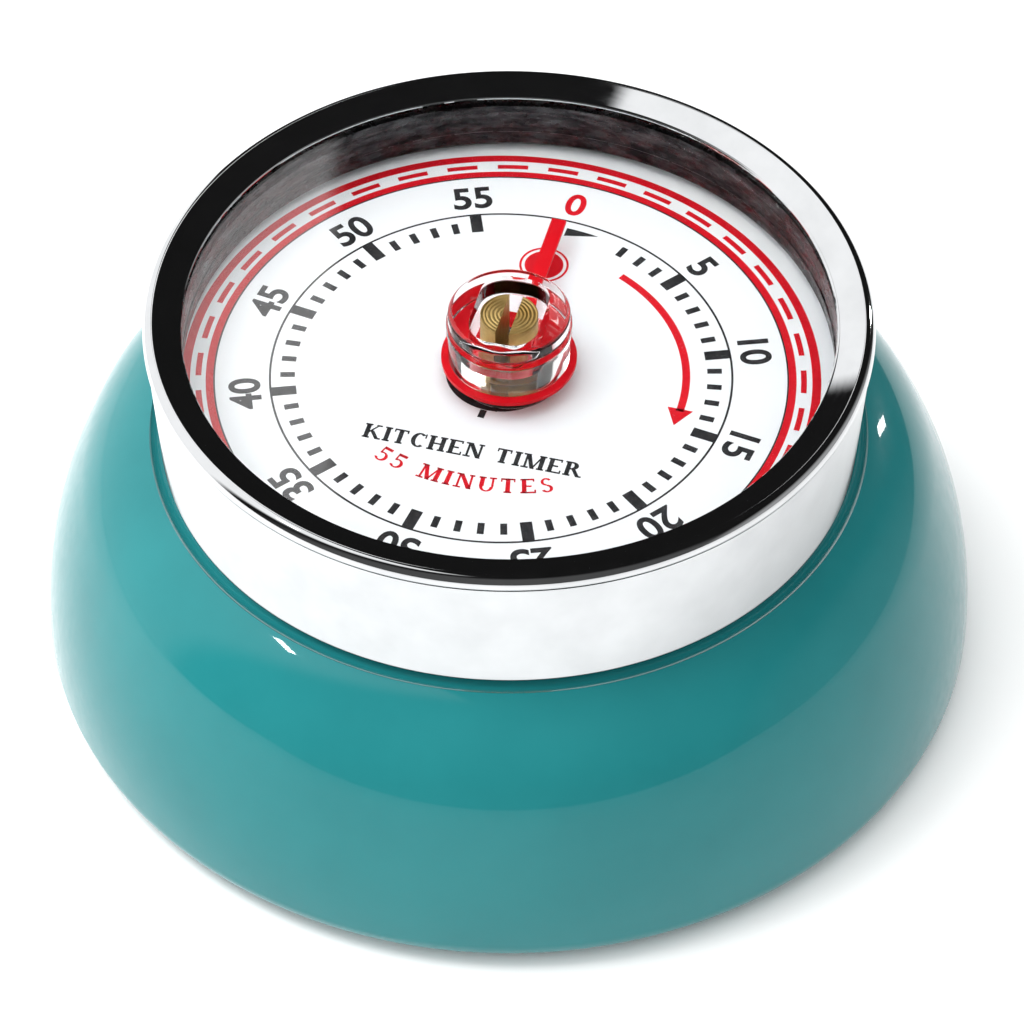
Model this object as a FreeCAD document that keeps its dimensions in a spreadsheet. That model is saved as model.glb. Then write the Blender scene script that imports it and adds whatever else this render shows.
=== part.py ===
import FreeCAD, Part
import Sketcher
import math
import os

# Mechanical kitchen timer, 70 mm across and 32 mm high, in millimetres.
# +Z points up, away from the face that the timer rests on. The origin is the centre of that face,
# and +Y points at the 0 mark of the dial. The top ring, the lens and the pointer are turned
# clockwise to wind the timer, and run back to the 0 mark.

# Driving dimensions: word, value.
DIMENSIONS = [
    # body shell, a spun sheet
    ("body_radius", 35.0), ("widest_height", 2.55), ("body_bottom", 0.45), ("sheet", 0.6),
    ("dome_arc", 28.8), ("dome_turn", 27.5), ("shoulder_arc", 9.6), ("shoulder_end_radius", 26.5),
    ("neck_groove_arc", 1.0), ("neck_radius", 24.95), ("neck_foot", 20.35), ("seat_height", 24.7),
    ("seat_inner_radius", 19.5), ("hem_radius", 31.4), ("hem_wall_radius", 32.7), ("hem_bottom", 1.15),
    # bottom cover, magnets and screws
    ("cover_flange_radius", 32.3), ("cover_spigot_radius", 31.1), ("cover_top", 2.6),
    ("foot_inner_radius", 30.3), ("foot_step", 0.35), ("magnet_radius", 5.0), ("magnet_height", 1.6),
    ("magnet_circle", 17.0), ("magnet_gap", 0.05), ("standoff_circle", 27.8), ("standoff_radius", 1.9),
    # bell
    ("bell_radius", 23.5), ("bell_wall", 0.8), ("bell_bottom", 4.2), ("bell_top", 9.2),
    # movement plates and pillars
    ("rear_plate_bottom", 11.0), ("rear_plate_radius", 30.0), ("plate_thickness", 1.0),
    ("front_plate_radius", 24.1), ("front_plate_thickness", 1.2), ("pillar_radius", 1.2),
    ("pillar_circle", 17.5), ("outer_pillar_circle", 22.3), ("case_screw_circle", 21.8),
    # train: teeth and modules
    ("great_teeth", 72), ("great_module", 0.35), ("second_leaves", 8), ("second_teeth", 64),
    ("second_module", 0.3), ("third_leaves", 8), ("third_teeth", 56), ("third_module", 0.25),
    ("escape_leaves", 7), ("escape_teeth", 15), ("escape_radius", 4.8),
    # train: where each arbor stands
    ("second_direction", 200.0), ("third_direction", -53.0), ("escape_direction", -19.0),
    ("pallet_direction", 5.0), ("pallet_distance", 6.4), ("balance_direction", 30.0),
    ("fork_length", 5.0), ("impulse_radius", 1.0), ("hammer_direction", 165.0), ("hammer_distance", 20.0),
    # running fits and pivots
    ("pivot_radius", 0.4), ("running_gap", 0.05), ("arbor_radius", 0.65), ("main_journal", 2.3),
    ("main_pivot", 1.2),
    # springs
    ("mainspring_strip", 0.25), ("mainspring_pitch", 0.53), ("mainspring_height", 4.0),
    ("hairspring_strip", 0.1), ("hairspring_pitch", 0.36),
    # dial
    ("dial_radius", 24.6), ("dial_thickness", 0.5), ("dial_hole", 3.8),
    # turning ring, lens, pointer
    ("band_bottom", 20.75), ("band_bottom_radius", 25.68), ("band_top_radius", 26.27),
    ("band_top", 30.75), ("bead_arc", 0.75), ("crest_radius", 25.7), ("crest_height", 31.98),
    ("opening_radius", 23.74), ("opening_height", 31.3), ("ring_sheet", 0.45), ("lens_radius", 25.3),
    ("lens_bottom", 29.8), ("lens_top", 31.0), ("hub_radius", 4.45), ("hub_bottom", 27.0),
    ("hub_top", 32.0), ("hub_edge", 0.35), ("window_width", 5.1), ("window_length", 7.0),
    ("window_floor", 28.4), ("arbor_end_radius", 2.1), ("arbor_end", 31.6), ("arbor_slot", 1.0),
    ("pointer_radius", 4.95), ("pointer_bottom", 26.65), ("pointer_thickness", 0.3),
    ("hand_width", 1.1), ("hand_length", 14.8), ("retainer_bottom", 25.95), ("retainer_radius", 23.75),
]

doc = FreeCAD.newDocument("KitchenTimer")
sheet = doc.addObject("Spreadsheet::Sheet", "Sizes")
for row, (word, number) in enumerate(DIMENSIONS, 1):
    sheet.set(f"A{row}", word)
    sheet.set(f"B{row}", str(number))
    sheet.setAlias(f"B{row}", word)
doc.recompute()


class Size:
    """A length or angle together with the expression that gives it from the sheet."""

    def __init__(self, number, text):
        self.number = float(number)
        self.text = text

    def __add__(self, other):
        other = as_size(other)
        return Size(self.number + other.number, f"({self.text} + {other.text})")

    def __sub__(self, other):
        other = as_size(other)
        return Size(self.number - other.number, f"({self.text} - {other.text})")

    def __mul__(self, other):
        other = as_size(other)
        return Size(self.number * other.number, f"({self.text} * {other.text})")

    def __truediv__(self, other):
        other = as_size(other)
        return Size(self.number / other.number, f"({self.text} / {other.text})")

    def __neg__(self):
        return Size(-self.number, f"(0 - {self.text})")


def as_size(value):
    return value if isinstance(value, Size) else Size(value, repr(float(value)))


def cosine(angle):
    angle = as_size(angle)
    return Size(math.cos(math.radians(angle.number)), f"cos({angle.text} * 1 deg)")


def sine(angle):
    angle = as_size(angle)
    return Size(math.sin(math.radians(angle.number)), f"sin({angle.text} * 1 deg)")


def root(value):
    return Size(math.sqrt(value.number), f"sqrt({value.text})")


def polar(radius, angle, centre=(0, 0)):
    radius = as_size(radius)
    return radius * cosine(angle) + centre[0], radius * sine(angle) + centre[1]


S = {word: Size(number, f"Sizes.{word}") for word, number in DIMENSIONS}
PARTS = []


def keep(item, label):
    """Name a finished sub-part and put it on the list of those that are written out."""
    item.Label = label
    PARTS.append(item)
    return item


def bind(item, name, value):
    item.setExpression(name, as_size(value).text)


def move(item, at, turn=0):
    """Place an item on a vertical axis, bound to the sheet, turned about that axis."""
    item.Placement = FreeCAD.Placement(FreeCAD.Vector(0, 0, 0),
                                       FreeCAD.Rotation(FreeCAD.Vector(0, 0, 1), as_size(turn).number))
    bind(item, "Placement.Base.x", at[0])
    bind(item, "Placement.Base.y", at[1])
    if len(at) > 2:
        bind(item, "Placement.Base.z", at[2])


# ---------------------------------------------------------------- sketched pieces

def flat_point(point):
    return FreeCAD.Vector(as_size(point[0]).number, as_size(point[1]).number, 0)


def pin_point(sketch, item, end, point):
    """Hold one end of a line or arc at its own distances from the sketch's origin."""
    for kind, value in (("DistanceX", point[0]), ("DistanceY", point[1])):
        value = as_size(value)
        if abs(value.number) < 1e-9:
            axis = -2 if kind == "DistanceX" else -1
            sketch.addConstraint(Sketcher.Constraint("PointOnObject", item, end, axis))
            continue
        index = sketch.addConstraint(Sketcher.Constraint(kind, -1, 1, item, end, value.number))
        sketch.setExpression(f"Constraints[{index}]", value.text)


def arc_between(start, end, radius):
    """Arc from start to end; a positive radius bulges to the right of the way from start to end."""
    chord = end - start
    middle = (start + end) * 0.5
    left = FreeCAD.Vector(-chord.y, chord.x, 0).normalize()
    reach = math.sqrt(max(radius ** 2 - (chord.Length / 2) ** 2, 0))
    centre = middle + left * math.copysign(reach, radius)
    first, last = (start, end) if radius > 0 else (end, start)
    angles = [math.atan2(point.y - centre.y, point.x - centre.x) for point in (first, last)]
    circle = Part.Circle(centre, FreeCAD.Vector(0, 0, 1), abs(radius))
    return Part.ArcOfCircle(circle, *angles)


def draw(sketch, outline):
    """Draw a closed outline: each entry is a point, or a point and the radius of the arc to it."""
    points = [entry[:2] for entry in outline]
    ends = []
    for index, entry in enumerate(outline):
        start = flat_point(points[index - 1])
        end = flat_point(points[index])
        if len(entry) == 3:
            radius = as_size(entry[2])
            item = sketch.addGeometry(arc_between(start, end, radius.number), False)
            bound = sketch.addConstraint(Sketcher.Constraint("Radius", item, abs(radius.number)))
            sketch.setExpression(f"Constraints[{bound}]", f"abs({radius.text})")
            ends.append((item, 1, 2) if radius.number > 0 else (item, 2, 1))
        else:
            item = sketch.addGeometry(Part.LineSegment(start, end), False)
            ends.append((item, 1, 2))
    for index, (item, start_end, _) in enumerate(ends):
        before, _, before_end = ends[index - 1]
        sketch.addConstraint(Sketcher.Constraint("Coincident", before, before_end, item, start_end))
    for index, (item, _, last_end) in enumerate(ends):
        pin_point(sketch, item, last_end, points[index])


def draw_circle(sketch, centre, radius):
    radius = as_size(radius)
    item = sketch.addGeometry(Part.Circle(flat_point(centre), FreeCAD.Vector(0, 0, 1), radius.number), False)
    pin_point(sketch, item, 3, centre)
    bound = sketch.addConstraint(Sketcher.Constraint("Radius", item, radius.number))
    sketch.setExpression(f"Constraints[{bound}]", radius.text)


def new_sketch(body, name, role, height=0):
    """A sketch on one of the body's own planes, lifted to a height."""
    sketch = body.newObject("Sketcher::SketchObject", name)
    plane = next(item for item in body.Origin.OriginFeatures if item.Role == role)
    sketch.AttachmentSupport = [(plane, "")]
    sketch.MapMode = "FlatFace"
    if role == "XY_Plane":
        bind(sketch, "AttachmentOffset.Base.z", height)
    return sketch


def new_body(name):
    return doc.addObject("PartDesign::Body", name)


def turn_profile(body, outline):
    """Revolve an outline of (radius, height) points about the vertical axis."""
    sketch = new_sketch(body, body.Name + "_profile", "XZ_Plane")
    draw(sketch, outline)
    turned = body.newObject("PartDesign::Revolution", body.Name + "_turned")
    turned.Profile = sketch
    turned.ReferenceAxis = (sketch, ["V_Axis"])
    turned.Angle = 360
    sketch.Visibility = False


def turned_piece(name, outline, at=(0, 0)):
    body = new_body(name)
    turn_profile(body, outline)
    move(body, at)
    return body


def steps(sections):
    """Outline of a stepped shaft from (radius, top) sections; the first entry is the bottom."""
    bottom = sections[0]
    outline = [(0, bottom)]
    for radius, top in sections[1:]:
        outline += [(radius, bottom), (radius, top)]
        bottom = top
    return outline + [(0, bottom)]


def shaft(name, sections, at=(0, 0)):
    return turned_piece(name, steps(sections), at)


def padded_piece(name, bottom, height, outline=None, circles=(), at=(0, 0), turn=0):
    """A flat piece: an outline and circles, the later circles being holes."""
    body = new_body(name)
    sketch = new_sketch(body, name + "_outline", "XY_Plane", bottom)
    if outline:
        draw(sketch, outline)
    for centre, radius in circles:
        draw_circle(sketch, centre, radius)
    pad = body.newObject("PartDesign::Pad", name + "_pad")
    pad.Profile = sketch
    bind(pad, "Length", height)
    move(body, at, turn)
    return body


def pocket(body, name, top, depth, outline=None, circles=()):
    """Cut downwards from a height."""
    sketch = new_sketch(body, name, "XY_Plane", top)
    if outline:
        draw(sketch, outline)
    for centre, radius in circles:
        draw_circle(sketch, centre, radius)
    doc.recompute()
    before = body.Shape.Volume
    cut = body.newObject("PartDesign::Pocket", name + "_cut")
    cut.Profile = sketch
    bind(cut, "Length", depth)
    doc.recompute()
    if body.Shape.Volume > before - 1e-6:
        raise ValueError(f"{name} cuts nothing")
    return cut


# ---------------------------------------------------------------- primitives and booleans

def cylinder(name, radius, bottom, height, at=(0, 0)):
    item = doc.addObject("Part::Cylinder", name)
    bind(item, "Radius", radius)
    bind(item, "Height", height)
    move(item, (at[0], at[1], bottom))
    return item


def cone(name, low_radius, high_radius, bottom, height, at=(0, 0)):
    item = doc.addObject("Part::Cone", name)
    bind(item, "Radius1", low_radius)
    bind(item, "Radius2", high_radius)
    bind(item, "Height", height)
    move(item, (at[0], at[1], bottom))
    return item


def bar(name, pivot, angle, start, length, width, bottom, height):
    """A straight arm that points away from a pivot at an angle."""
    item = doc.addObject("Part::Box", name)
    bind(item, "Length", length)
    bind(item, "Width", width)
    bind(item, "Height", height)
    x, y = polar(start, angle, pivot)
    half = as_size(width) / 2
    move(item, (x + half * sine(angle), y - half * cosine(angle), bottom), angle)
    return item


def fuse(name, items):
    item = doc.addObject("Part::MultiFuse", name)
    item.Shapes = items
    return item


def cut(name, base, tools):
    item = doc.addObject("Part::Cut", name)
    item.Base = base
    item.Tool = tools[0] if len(tools) == 1 else fuse(name + "_tools", tools)
    return item


def group(name, items):
    """Identical pieces that share a node, as separate solids."""
    item = doc.addObject("Part::Compound", name)
    item.Links = items
    return item


def coded(name, shape, at=(0, 0), turn=0):
    """A piece whose shape is worked out in code from the sheet."""
    item = doc.addObject("Part::Feature", name)
    item.Shape = shape
    move(item, at, turn)
    return item


# ---------------------------------------------------------------- toothed wheels and springs

def prism(points, bottom, height):
    corners = [FreeCAD.Vector(x, y, bottom) for x, y in points]
    face = Part.Face(Part.makePolygon(corners + corners[:1]))
    return face.extrude(FreeCAD.Vector(0, 0, height))


def ring_points(tooth, count):
    """Repeat one tooth's (radius, angle in degrees from its centre) points round a circle."""
    points = []
    for index in range(count):
        for radius, angle in tooth:
            turn = math.radians(index * 360.0 / count + angle)
            points.append((radius * math.cos(turn), radius * math.sin(turn)))
    return points


def tooth_profile(teeth, module, thickness, addendum, dedendum):
    """Clock tooth: radial flanks below the pitch circle and a pointed arch above it."""
    pitch = teeth * module / 2
    half = math.degrees(thickness * module / 2 / pitch)
    tip = pitch + addendum * module
    arch = [(0.0, 1.0), (0.35, 0.9), (0.7, 0.62), (0.92, 0.3)]
    rising = [(pitch + rise * (tip - pitch), -half * share) for rise, share in arch]
    falling = [(radius, -angle) for radius, angle in reversed(rising)]
    foot = pitch - dedendum * module
    return [(foot, -half)] + rising + [(tip, 0.0)] + falling + [(foot, half)]


def wheel_shape(teeth, module, bottom, height, bore, spokes=4):
    """Going wheel: light rim, four arms and a round bore."""
    profile = tooth_profile(teeth, module, 1.3, 0.95, 1.25)
    shape = prism(ring_points(profile, teeth), bottom, height)
    rim = teeth * module / 2 - 1.25 * module - 0.9
    eye = bore + 1.6
    arm = 0.9
    for index in range(spokes):
        window = Part.makeCylinder(rim, height, FreeCAD.Vector(0, 0, bottom), FreeCAD.Vector(0, 0, 1),
                                   360.0 / spokes)
        window = window.cut(Part.makeCylinder(eye, height, FreeCAD.Vector(0, 0, bottom)))
        window.rotate(FreeCAD.Vector(0, 0, 0), FreeCAD.Vector(0, 0, 1), index * 360.0 / spokes)
        for side in (0, 1):
            spoke = Part.makeBox(rim + 1, arm, height, FreeCAD.Vector(0, -arm / 2, bottom))
            spoke.rotate(FreeCAD.Vector(0, 0, 0), FreeCAD.Vector(0, 0, 1), (index + side) * 360.0 / spokes)
            window = window.cut(spoke)
        shape = shape.cut(window)
    return shape.cut(Part.makeCylinder(bore, height, FreeCAD.Vector(0, 0, bottom)))


def pinion_shape(leaves, module, bottom, height):
    profile = tooth_profile(leaves, module, 0.9, 0.5, 1.4)
    return prism(ring_points(profile, leaves), bottom, height)


def spiral_shape(inner, pitch, half_turns, strip, bottom, height):
    """A flat coil of strip made of half circles whose centres step from side to side."""
    edges_out = []
    edges_in = []
    radius = inner
    centre = 0.0
    up = FreeCAD.Vector(0, 0, 1)
    for index in range(half_turns):
        way = 1 if index % 2 == 0 else -1
        for edges, offset in ((edges_out, strip / 2), (edges_in, -strip / 2)):
            size = radius + offset
            ends = [FreeCAD.Vector(centre + way * size, 0, bottom),
                    FreeCAD.Vector(centre, way * size, bottom),
                    FreeCAD.Vector(centre - way * size, 0, bottom)]
            edges.append(Part.Arc(*ends).toShape())
        radius += pitch / 2
        centre += way * pitch / 2
    outer = Part.Wire(edges_out)
    inside = Part.Wire(edges_in)
    first = Part.makeLine(edges_out[0].firstVertex().Point, edges_in[0].firstVertex().Point)
    last = Part.makeLine(edges_out[-1].lastVertex().Point, edges_in[-1].lastVertex().Point)
    loop = Part.Wire(Part.__sortEdges__(outer.Edges + inside.Edges + [first, last]))
    return Part.Face(loop).extrude(up * height)


# ---------------------------------------------------------------- heights and arbor positions

rear_top = S["rear_plate_bottom"] + S["plate_thickness"]
front_top = S["seat_height"] - S["sheet"]
front_bottom = front_top - S["front_plate_thickness"]
dial_top = S["seat_height"] + S["dial_thickness"]
pointer_top = S["pointer_bottom"] + S["pointer_thickness"]
pivot_hole = S["pivot_radius"] + S["running_gap"]
main_bore = S["main_journal"] + S["running_gap"]

GREAT_BOTTOM, GREAT_THICK = 12.4, 0.8
RATCHET_BOTTOM, RATCHET_THICK = 13.6, 0.8
ESCAPE_BOTTOM, ESCAPE_THICK = 14.5, 0.6
SPRING_BOTTOM = 15.0
LEVER_BOTTOM, LEVER_THICK = 15.4, 0.6
STAR_BOTTOM = 15.5
ROLLER_BOTTOM = 16.2
BALANCE_BOTTOM, BALANCE_THICK = 17.2, 0.8
THIRD_BOTTOM, WHEEL_THICK = 17.6, 0.5
HAIRSPRING_BOTTOM = 19.2
SECOND_BOTTOM = 19.6
CAM_BOTTOM, CAM_THICK = 20.7, 0.8
STOP_BOTTOM, STOP_TOP = 21.7, 22.4

second_at = polar((S["great_teeth"] + S["second_leaves"]) * S["great_module"] / 2, S["second_direction"])
third_at = polar((S["second_teeth"] + S["third_leaves"]) * S["second_module"] / 2,
                 S["third_direction"], second_at)
escape_at = polar((S["third_teeth"] + S["escape_leaves"]) * S["third_module"] / 2,
                  S["escape_direction"], third_at)
pallet_at = polar(S["pallet_distance"], S["pallet_direction"], escape_at)
balance_at = polar(S["fork_length"] + S["impulse_radius"], S["balance_direction"], pallet_at)
hammer_at = polar(S["hammer_distance"], S["hammer_direction"])
strike_at = (Size(-1.2, "-1.2"), Size(13.0, "13"))
PIVOTS = (second_at, third_at, escape_at, pallet_at, balance_at, hammer_at)

STOP_ANGLE = -30.0
spring_post_at = polar(8.7, 60)
stop_pin_at = polar(6.5, STOP_ANGLE)
hairspring_stud_at = polar(3.75, 30, balance_at)
lever_spring_at = polar(17.6, 52)
click_at = polar(8.0, 40)
click_spring_at = polar(8.3, 5)

PILLARS = [polar(S["pillar_circle"], angle) for angle in (15, 70, 130)]
PILLARS.append(polar(S["outer_pillar_circle"], 228))
STANDOFFS = [polar(S["standoff_circle"], angle) for angle in (45, 165, 285)]
MAGNETS = [polar(S["magnet_circle"], angle) for angle in (105, 225, 345)]
CASE_SCREWS = [polar(S["case_screw_circle"], angle) for angle in (40, 100, 320)]
DIAL_FEET = [polar(18.3, angle) for angle in (-5, 175)]


# ---------------------------------------------------------------- case

def dome_point(arc, angle):
    """A point of the dome's main arc, whose centre is at the widest height."""
    return (S["body_radius"] - S["dome_arc"] + arc * cosine(angle), S["widest_height"] + arc * sine(angle))


def make_body_shell():
    sheet_thick = S["sheet"]
    roll = S["widest_height"] - S["body_bottom"]
    shoulder_foot = dome_point(S["dome_arc"], S["dome_turn"])
    shoulder_centre = (shoulder_foot[0] - S["shoulder_arc"] * cosine(S["dome_turn"]),
                       shoulder_foot[1] - S["shoulder_arc"] * sine(S["dome_turn"]))

    def shoulder_height(arc, radius):
        across = radius - shoulder_centre[0]
        return shoulder_centre[1] + root(arc * arc - across * across)

    end = S["shoulder_end_radius"]
    inner_arc = S["shoulder_arc"] - sheet_thick
    floor = S["neck_foot"] - 1.1
    inner_end = shoulder_centre[0] + root(inner_arc * inner_arc
                                          - (floor - shoulder_centre[1]) * (floor - shoulder_centre[1]))
    hem_top = S["hem_bottom"] + sheet_thick
    inner_roll = roll - sheet_thick
    drop = S["widest_height"] - hem_top
    hem_out = S["body_radius"] - roll + root(inner_roll * inner_roll - drop * drop)
    outline = [
        (S["hem_wall_radius"], S["body_bottom"]),
        (S["body_radius"] - roll, S["body_bottom"]),
        (S["body_radius"], S["widest_height"], roll),
        shoulder_foot + (S["dome_arc"],),
        (end, shoulder_height(S["shoulder_arc"], end), S["shoulder_arc"]),
        (S["neck_radius"], S["neck_foot"], -S["neck_groove_arc"]),
        (S["neck_radius"], S["seat_height"]),
        (S["seat_inner_radius"], S["seat_height"]),
        (S["seat_inner_radius"], front_top),
        (S["neck_radius"] - sheet_thick, front_top),
        (S["neck_radius"] - sheet_thick, floor),
        (inner_end, floor),
        dome_point(S["dome_arc"] - sheet_thick, S["dome_turn"]) + (-inner_arc,),
        (S["body_radius"] - sheet_thick, S["widest_height"], -(S["dome_arc"] - sheet_thick)),
        (hem_out, hem_top, -inner_roll),
        (S["hem_radius"], hem_top),
        (S["hem_radius"], S["hem_bottom"]),
        (S["hem_wall_radius"], S["hem_bottom"]),
    ]
    body = turned_piece("body_shell_blank", outline)
    holes = [cone(f"case_screw_seat_{n}", 1.0, 1.8, front_top, sheet_thick, at)
             for n, at in enumerate(CASE_SCREWS)]
    holes += [cylinder(f"dial_foot_hole_{n}", 0.55, front_top, sheet_thick, at)
              for n, at in enumerate(DIAL_FEET)]
    return keep(cut("body_shell_cut", body, holes), "body_shell")


def make_base_plate():
    flange = S["hem_bottom"]
    outline = [
        (0, S["foot_step"]),
        (S["foot_inner_radius"], S["foot_step"]),
        (S["foot_inner_radius"], 0),
        (S["cover_flange_radius"] - 0.4, 0),
        (S["cover_flange_radius"], 0.4),
        (S["cover_flange_radius"], flange),
        (S["cover_spigot_radius"], flange),
        (S["cover_spigot_radius"], S["cover_top"]),
        (0, S["cover_top"]),
    ]
    blank = turned_piece("base_plate_blank", outline)
    depth = S["magnet_height"] + 0.1
    pocket_radius = S["magnet_radius"] + S["magnet_gap"]
    tools = [cylinder(f"magnet_pocket_{n}", pocket_radius, 0, depth + S["foot_step"], at)
             for n, at in enumerate(MAGNETS)]
    tools += [cone(f"base_screw_seat_{n}", 2.2, 1.1, 0.1, 1.1, at) for n, at in enumerate(STANDOFFS)]
    tools += [cylinder(f"base_screw_hole_{n}", 1.1, 0, S["cover_top"], at) for n, at in enumerate(STANDOFFS)]
    tools += [cylinder(f"base_screw_mouth_{n}", 2.2, -0.5, 0.6, at) for n, at in enumerate(STANDOFFS)]
    return keep(cut("base_plate_cut", blank, tools), "base_plate")


def make_magnets():
    bottom = S["foot_step"]
    discs = [cylinder(f"magnet_{n}", S["magnet_radius"], bottom, S["magnet_height"], at)
             for n, at in enumerate(MAGNETS)]
    return keep(group("magnet_group", discs), "magnets")


def cross_recess(name, at, bottom, width, reach, depth):
    arms = [bar(f"{name}_{angle}", at, angle, -reach, reach * 2, width, bottom, depth) for angle in (0, 90)]
    return fuse(name, arms)


def make_base_screws():
    screws = []
    for n, at in enumerate(STANDOFFS):
        outline = [(0, 0.15), (2.05, 0.15), (1.0, 1.2), (1.0, 7.0), (0, 7.0)]
        blank = turned_piece(f"base_screw_{n}", outline, at)
        recess = cross_recess(f"base_recess_{n}", at, 0.1, 0.5, 1.2, 0.55)
        screws.append(cut(f"base_screw_cut_{n}", blank, [recess]))
    return keep(group("base_screw_group", screws), "base_screws")


def make_standoffs():
    posts = []
    for n, at in enumerate(STANDOFFS):
        outline = [(1.02, S["cover_top"]), (S["standoff_radius"], S["cover_top"]),
                   (S["standoff_radius"], S["rear_plate_bottom"]), (1.2, S["rear_plate_bottom"]),
                   (1.2, rear_top), (0, rear_top), (0, 7.2), (1.02, 7.2)]
        posts.append(turned_piece(f"standoff_{n}", outline, at))
    return keep(group("standoff_group", posts), "base_standoffs")


def make_bell():
    wall = S["bell_wall"]
    bottom = S["bell_bottom"]
    turn = 2.5
    outline = [
        (1.95, bottom),
        (S["bell_radius"] - turn, bottom),
        (S["bell_radius"], bottom + turn, turn),
        (S["bell_radius"], S["bell_top"]),
        (S["bell_radius"] - wall, S["bell_top"]),
        (S["bell_radius"] - wall, bottom + turn),
        (S["bell_radius"] - turn, bottom + wall, -(as_size(turn) - wall)),
        (1.95, bottom + wall),
    ]
    return keep(turned_piece("bell_turned", outline), "bell")


def make_bell_post():
    sections = [S["cover_top"], (3.0, S["bell_bottom"]), (1.9, S["bell_bottom"] + 3.0)]
    return keep(shaft("bell_post_turned", sections), "bell_post")


def hex_outline(across, at):
    corner = as_size(across) / (2 * math.cos(math.radians(30)))
    return [polar(corner, 60 * n, at) for n in range(6)]


def hex_nut(name, across, bore, bottom, height, at):
    return padded_piece(name, bottom, height, hex_outline(across, (0, 0)), [((0, 0), bore)], at)


def make_bell_nut():
    nut_bottom = S["bell_bottom"] + S["bell_wall"]
    return keep(hex_nut("bell_nut_hex", 6.0, 1.92, nut_bottom, 1.6, (0, 0)), "bell_nut")


def make_rear_plate():
    pivots = [second_at, third_at, escape_at, pallet_at, balance_at]
    circles = [((0, 0), S["rear_plate_radius"]), ((0, 0), S["main_pivot"] + S["running_gap"])]
    circles += [(at, pivot_hole) for at in pivots]
    circles += [(hammer_at, 0.75)]
    circles += [(at, 0.92) for at in PILLARS]
    circles += [(at, 1.22) for at in STANDOFFS]
    plate = padded_piece("rear_plate_pad", S["rear_plate_bottom"], S["plate_thickness"], circles=circles)
    return keep(plate, "rear_plate")


def make_front_plate():
    circles = [((0, 0), S["front_plate_radius"]), ((0, 0), 3.2)]
    circles += [(at, pivot_hole) for at in PIVOTS]
    circles += [(at, 0.92) for at in PILLARS]
    circles += [(at, 0.92) for at in CASE_SCREWS]
    circles += [(at, 0.55) for at in DIAL_FEET]
    circles += [(strike_at, 0.72), (spring_post_at, 0.62), (stop_pin_at, 0.42), (hairspring_stud_at, 0.32)]
    circles += [(lever_spring_at, 0.32)]
    plate = padded_piece("front_plate_pad", front_bottom, S["front_plate_thickness"], circles=circles)
    return keep(plate, "front_plate")


def make_front_bushing():
    outline = [(main_bore, front_bottom), (3.2, front_bottom),
               (3.2, S["seat_height"]), (main_bore, S["seat_height"])]
    return keep(turned_piece("front_bushing_turned", outline), "front_bushing")


def make_pillars():
    posts = []
    for n, at in enumerate(PILLARS):
        sections = [S["rear_plate_bottom"] - 1.6, (0.9, rear_top), (S["pillar_radius"], front_bottom),
                    (0.9, front_top)]
        posts.append(shaft(f"pillar_{n}", sections, at))
    return keep(group("pillar_group", posts), "plate_pillars")


def make_pillar_nuts():
    nuts = [hex_nut(f"pillar_nut_{n}", 3.6, 0.92, S["rear_plate_bottom"] - 1.2, 1.2, at)
            for n, at in enumerate(PILLARS)]
    return keep(group("pillar_nut_group", nuts), "pillar_nuts")


def make_case_screws():
    screws = []
    for n, at in enumerate(CASE_SCREWS):
        outline = [(0, front_bottom), (0.9, front_bottom), (0.9, front_top), (1.75, S["seat_height"]),
                   (0, S["seat_height"])]
        blank = turned_piece(f"case_screw_{n}", outline, at)
        slot = bar(f"case_screw_slot_{n}", at, 30, -2, 4, 0.4, S["seat_height"] - 0.3, 0.4)
        screws.append(cut(f"case_screw_cut_{n}", blank, [slot]))
    return keep(group("case_screw_group", screws), "case_screws")


def make_dial_plate():
    circles = [((0, 0), S["dial_radius"]), ((0, 0), S["dial_hole"])]
    blank = padded_piece("dial_blank", S["seat_height"], S["dial_thickness"], circles=circles)
    notch = bar("dial_notch", (0, 0), 270, 3.5, 0.7, 0.4, S["seat_height"], S["dial_thickness"])
    return keep(cut("dial_plate_cut", blank, [notch]), "dial_plate")


def make_dial_feet():
    feet = [cylinder(f"dial_foot_{n}", 0.5, front_bottom, S["seat_height"] - front_bottom, at)
            for n, at in enumerate(DIAL_FEET)]
    return keep(group("dial_foot_group", feet), "dial_feet")


# ---------------------------------------------------------------- turning ring, lens, main arbor

def make_bezel_ring():
    gauge = S["ring_sheet"]
    bead_centre = (S["crest_radius"], S["crest_height"] - S["bead_arc"])
    slope = 19.5
    lip = (S["opening_radius"], S["opening_height"] - gauge * 0.6)
    inner_crest = (S["crest_radius"] - 0.1, S["crest_height"] - gauge * 1.1)
    bead_end = (bead_centre[0] + S["bead_arc"] * cosine(-40), bead_centre[1] + S["bead_arc"] * sine(-40))
    outline = [
        (S["band_bottom_radius"] - gauge, S["band_bottom"]),
        (S["band_bottom_radius"], S["band_bottom"]),
        bead_end,
        (S["crest_radius"], S["crest_height"], S["bead_arc"]),
        (S["opening_radius"], S["opening_height"]),
        lip,
        (S["opening_radius"] + 0.3, S["lens_top"] + 0.02),
        (S["lens_radius"] + 0.1, S["lens_top"] + 0.42),
        (S["lens_radius"] + 0.35, S["lens_top"] + 0.2),
        (S["lens_radius"] + 0.35, S["lens_bottom"] - 1.0),
    ]
    return keep(turned_piece("bezel_turned", outline), "bezel_ring")


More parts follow.
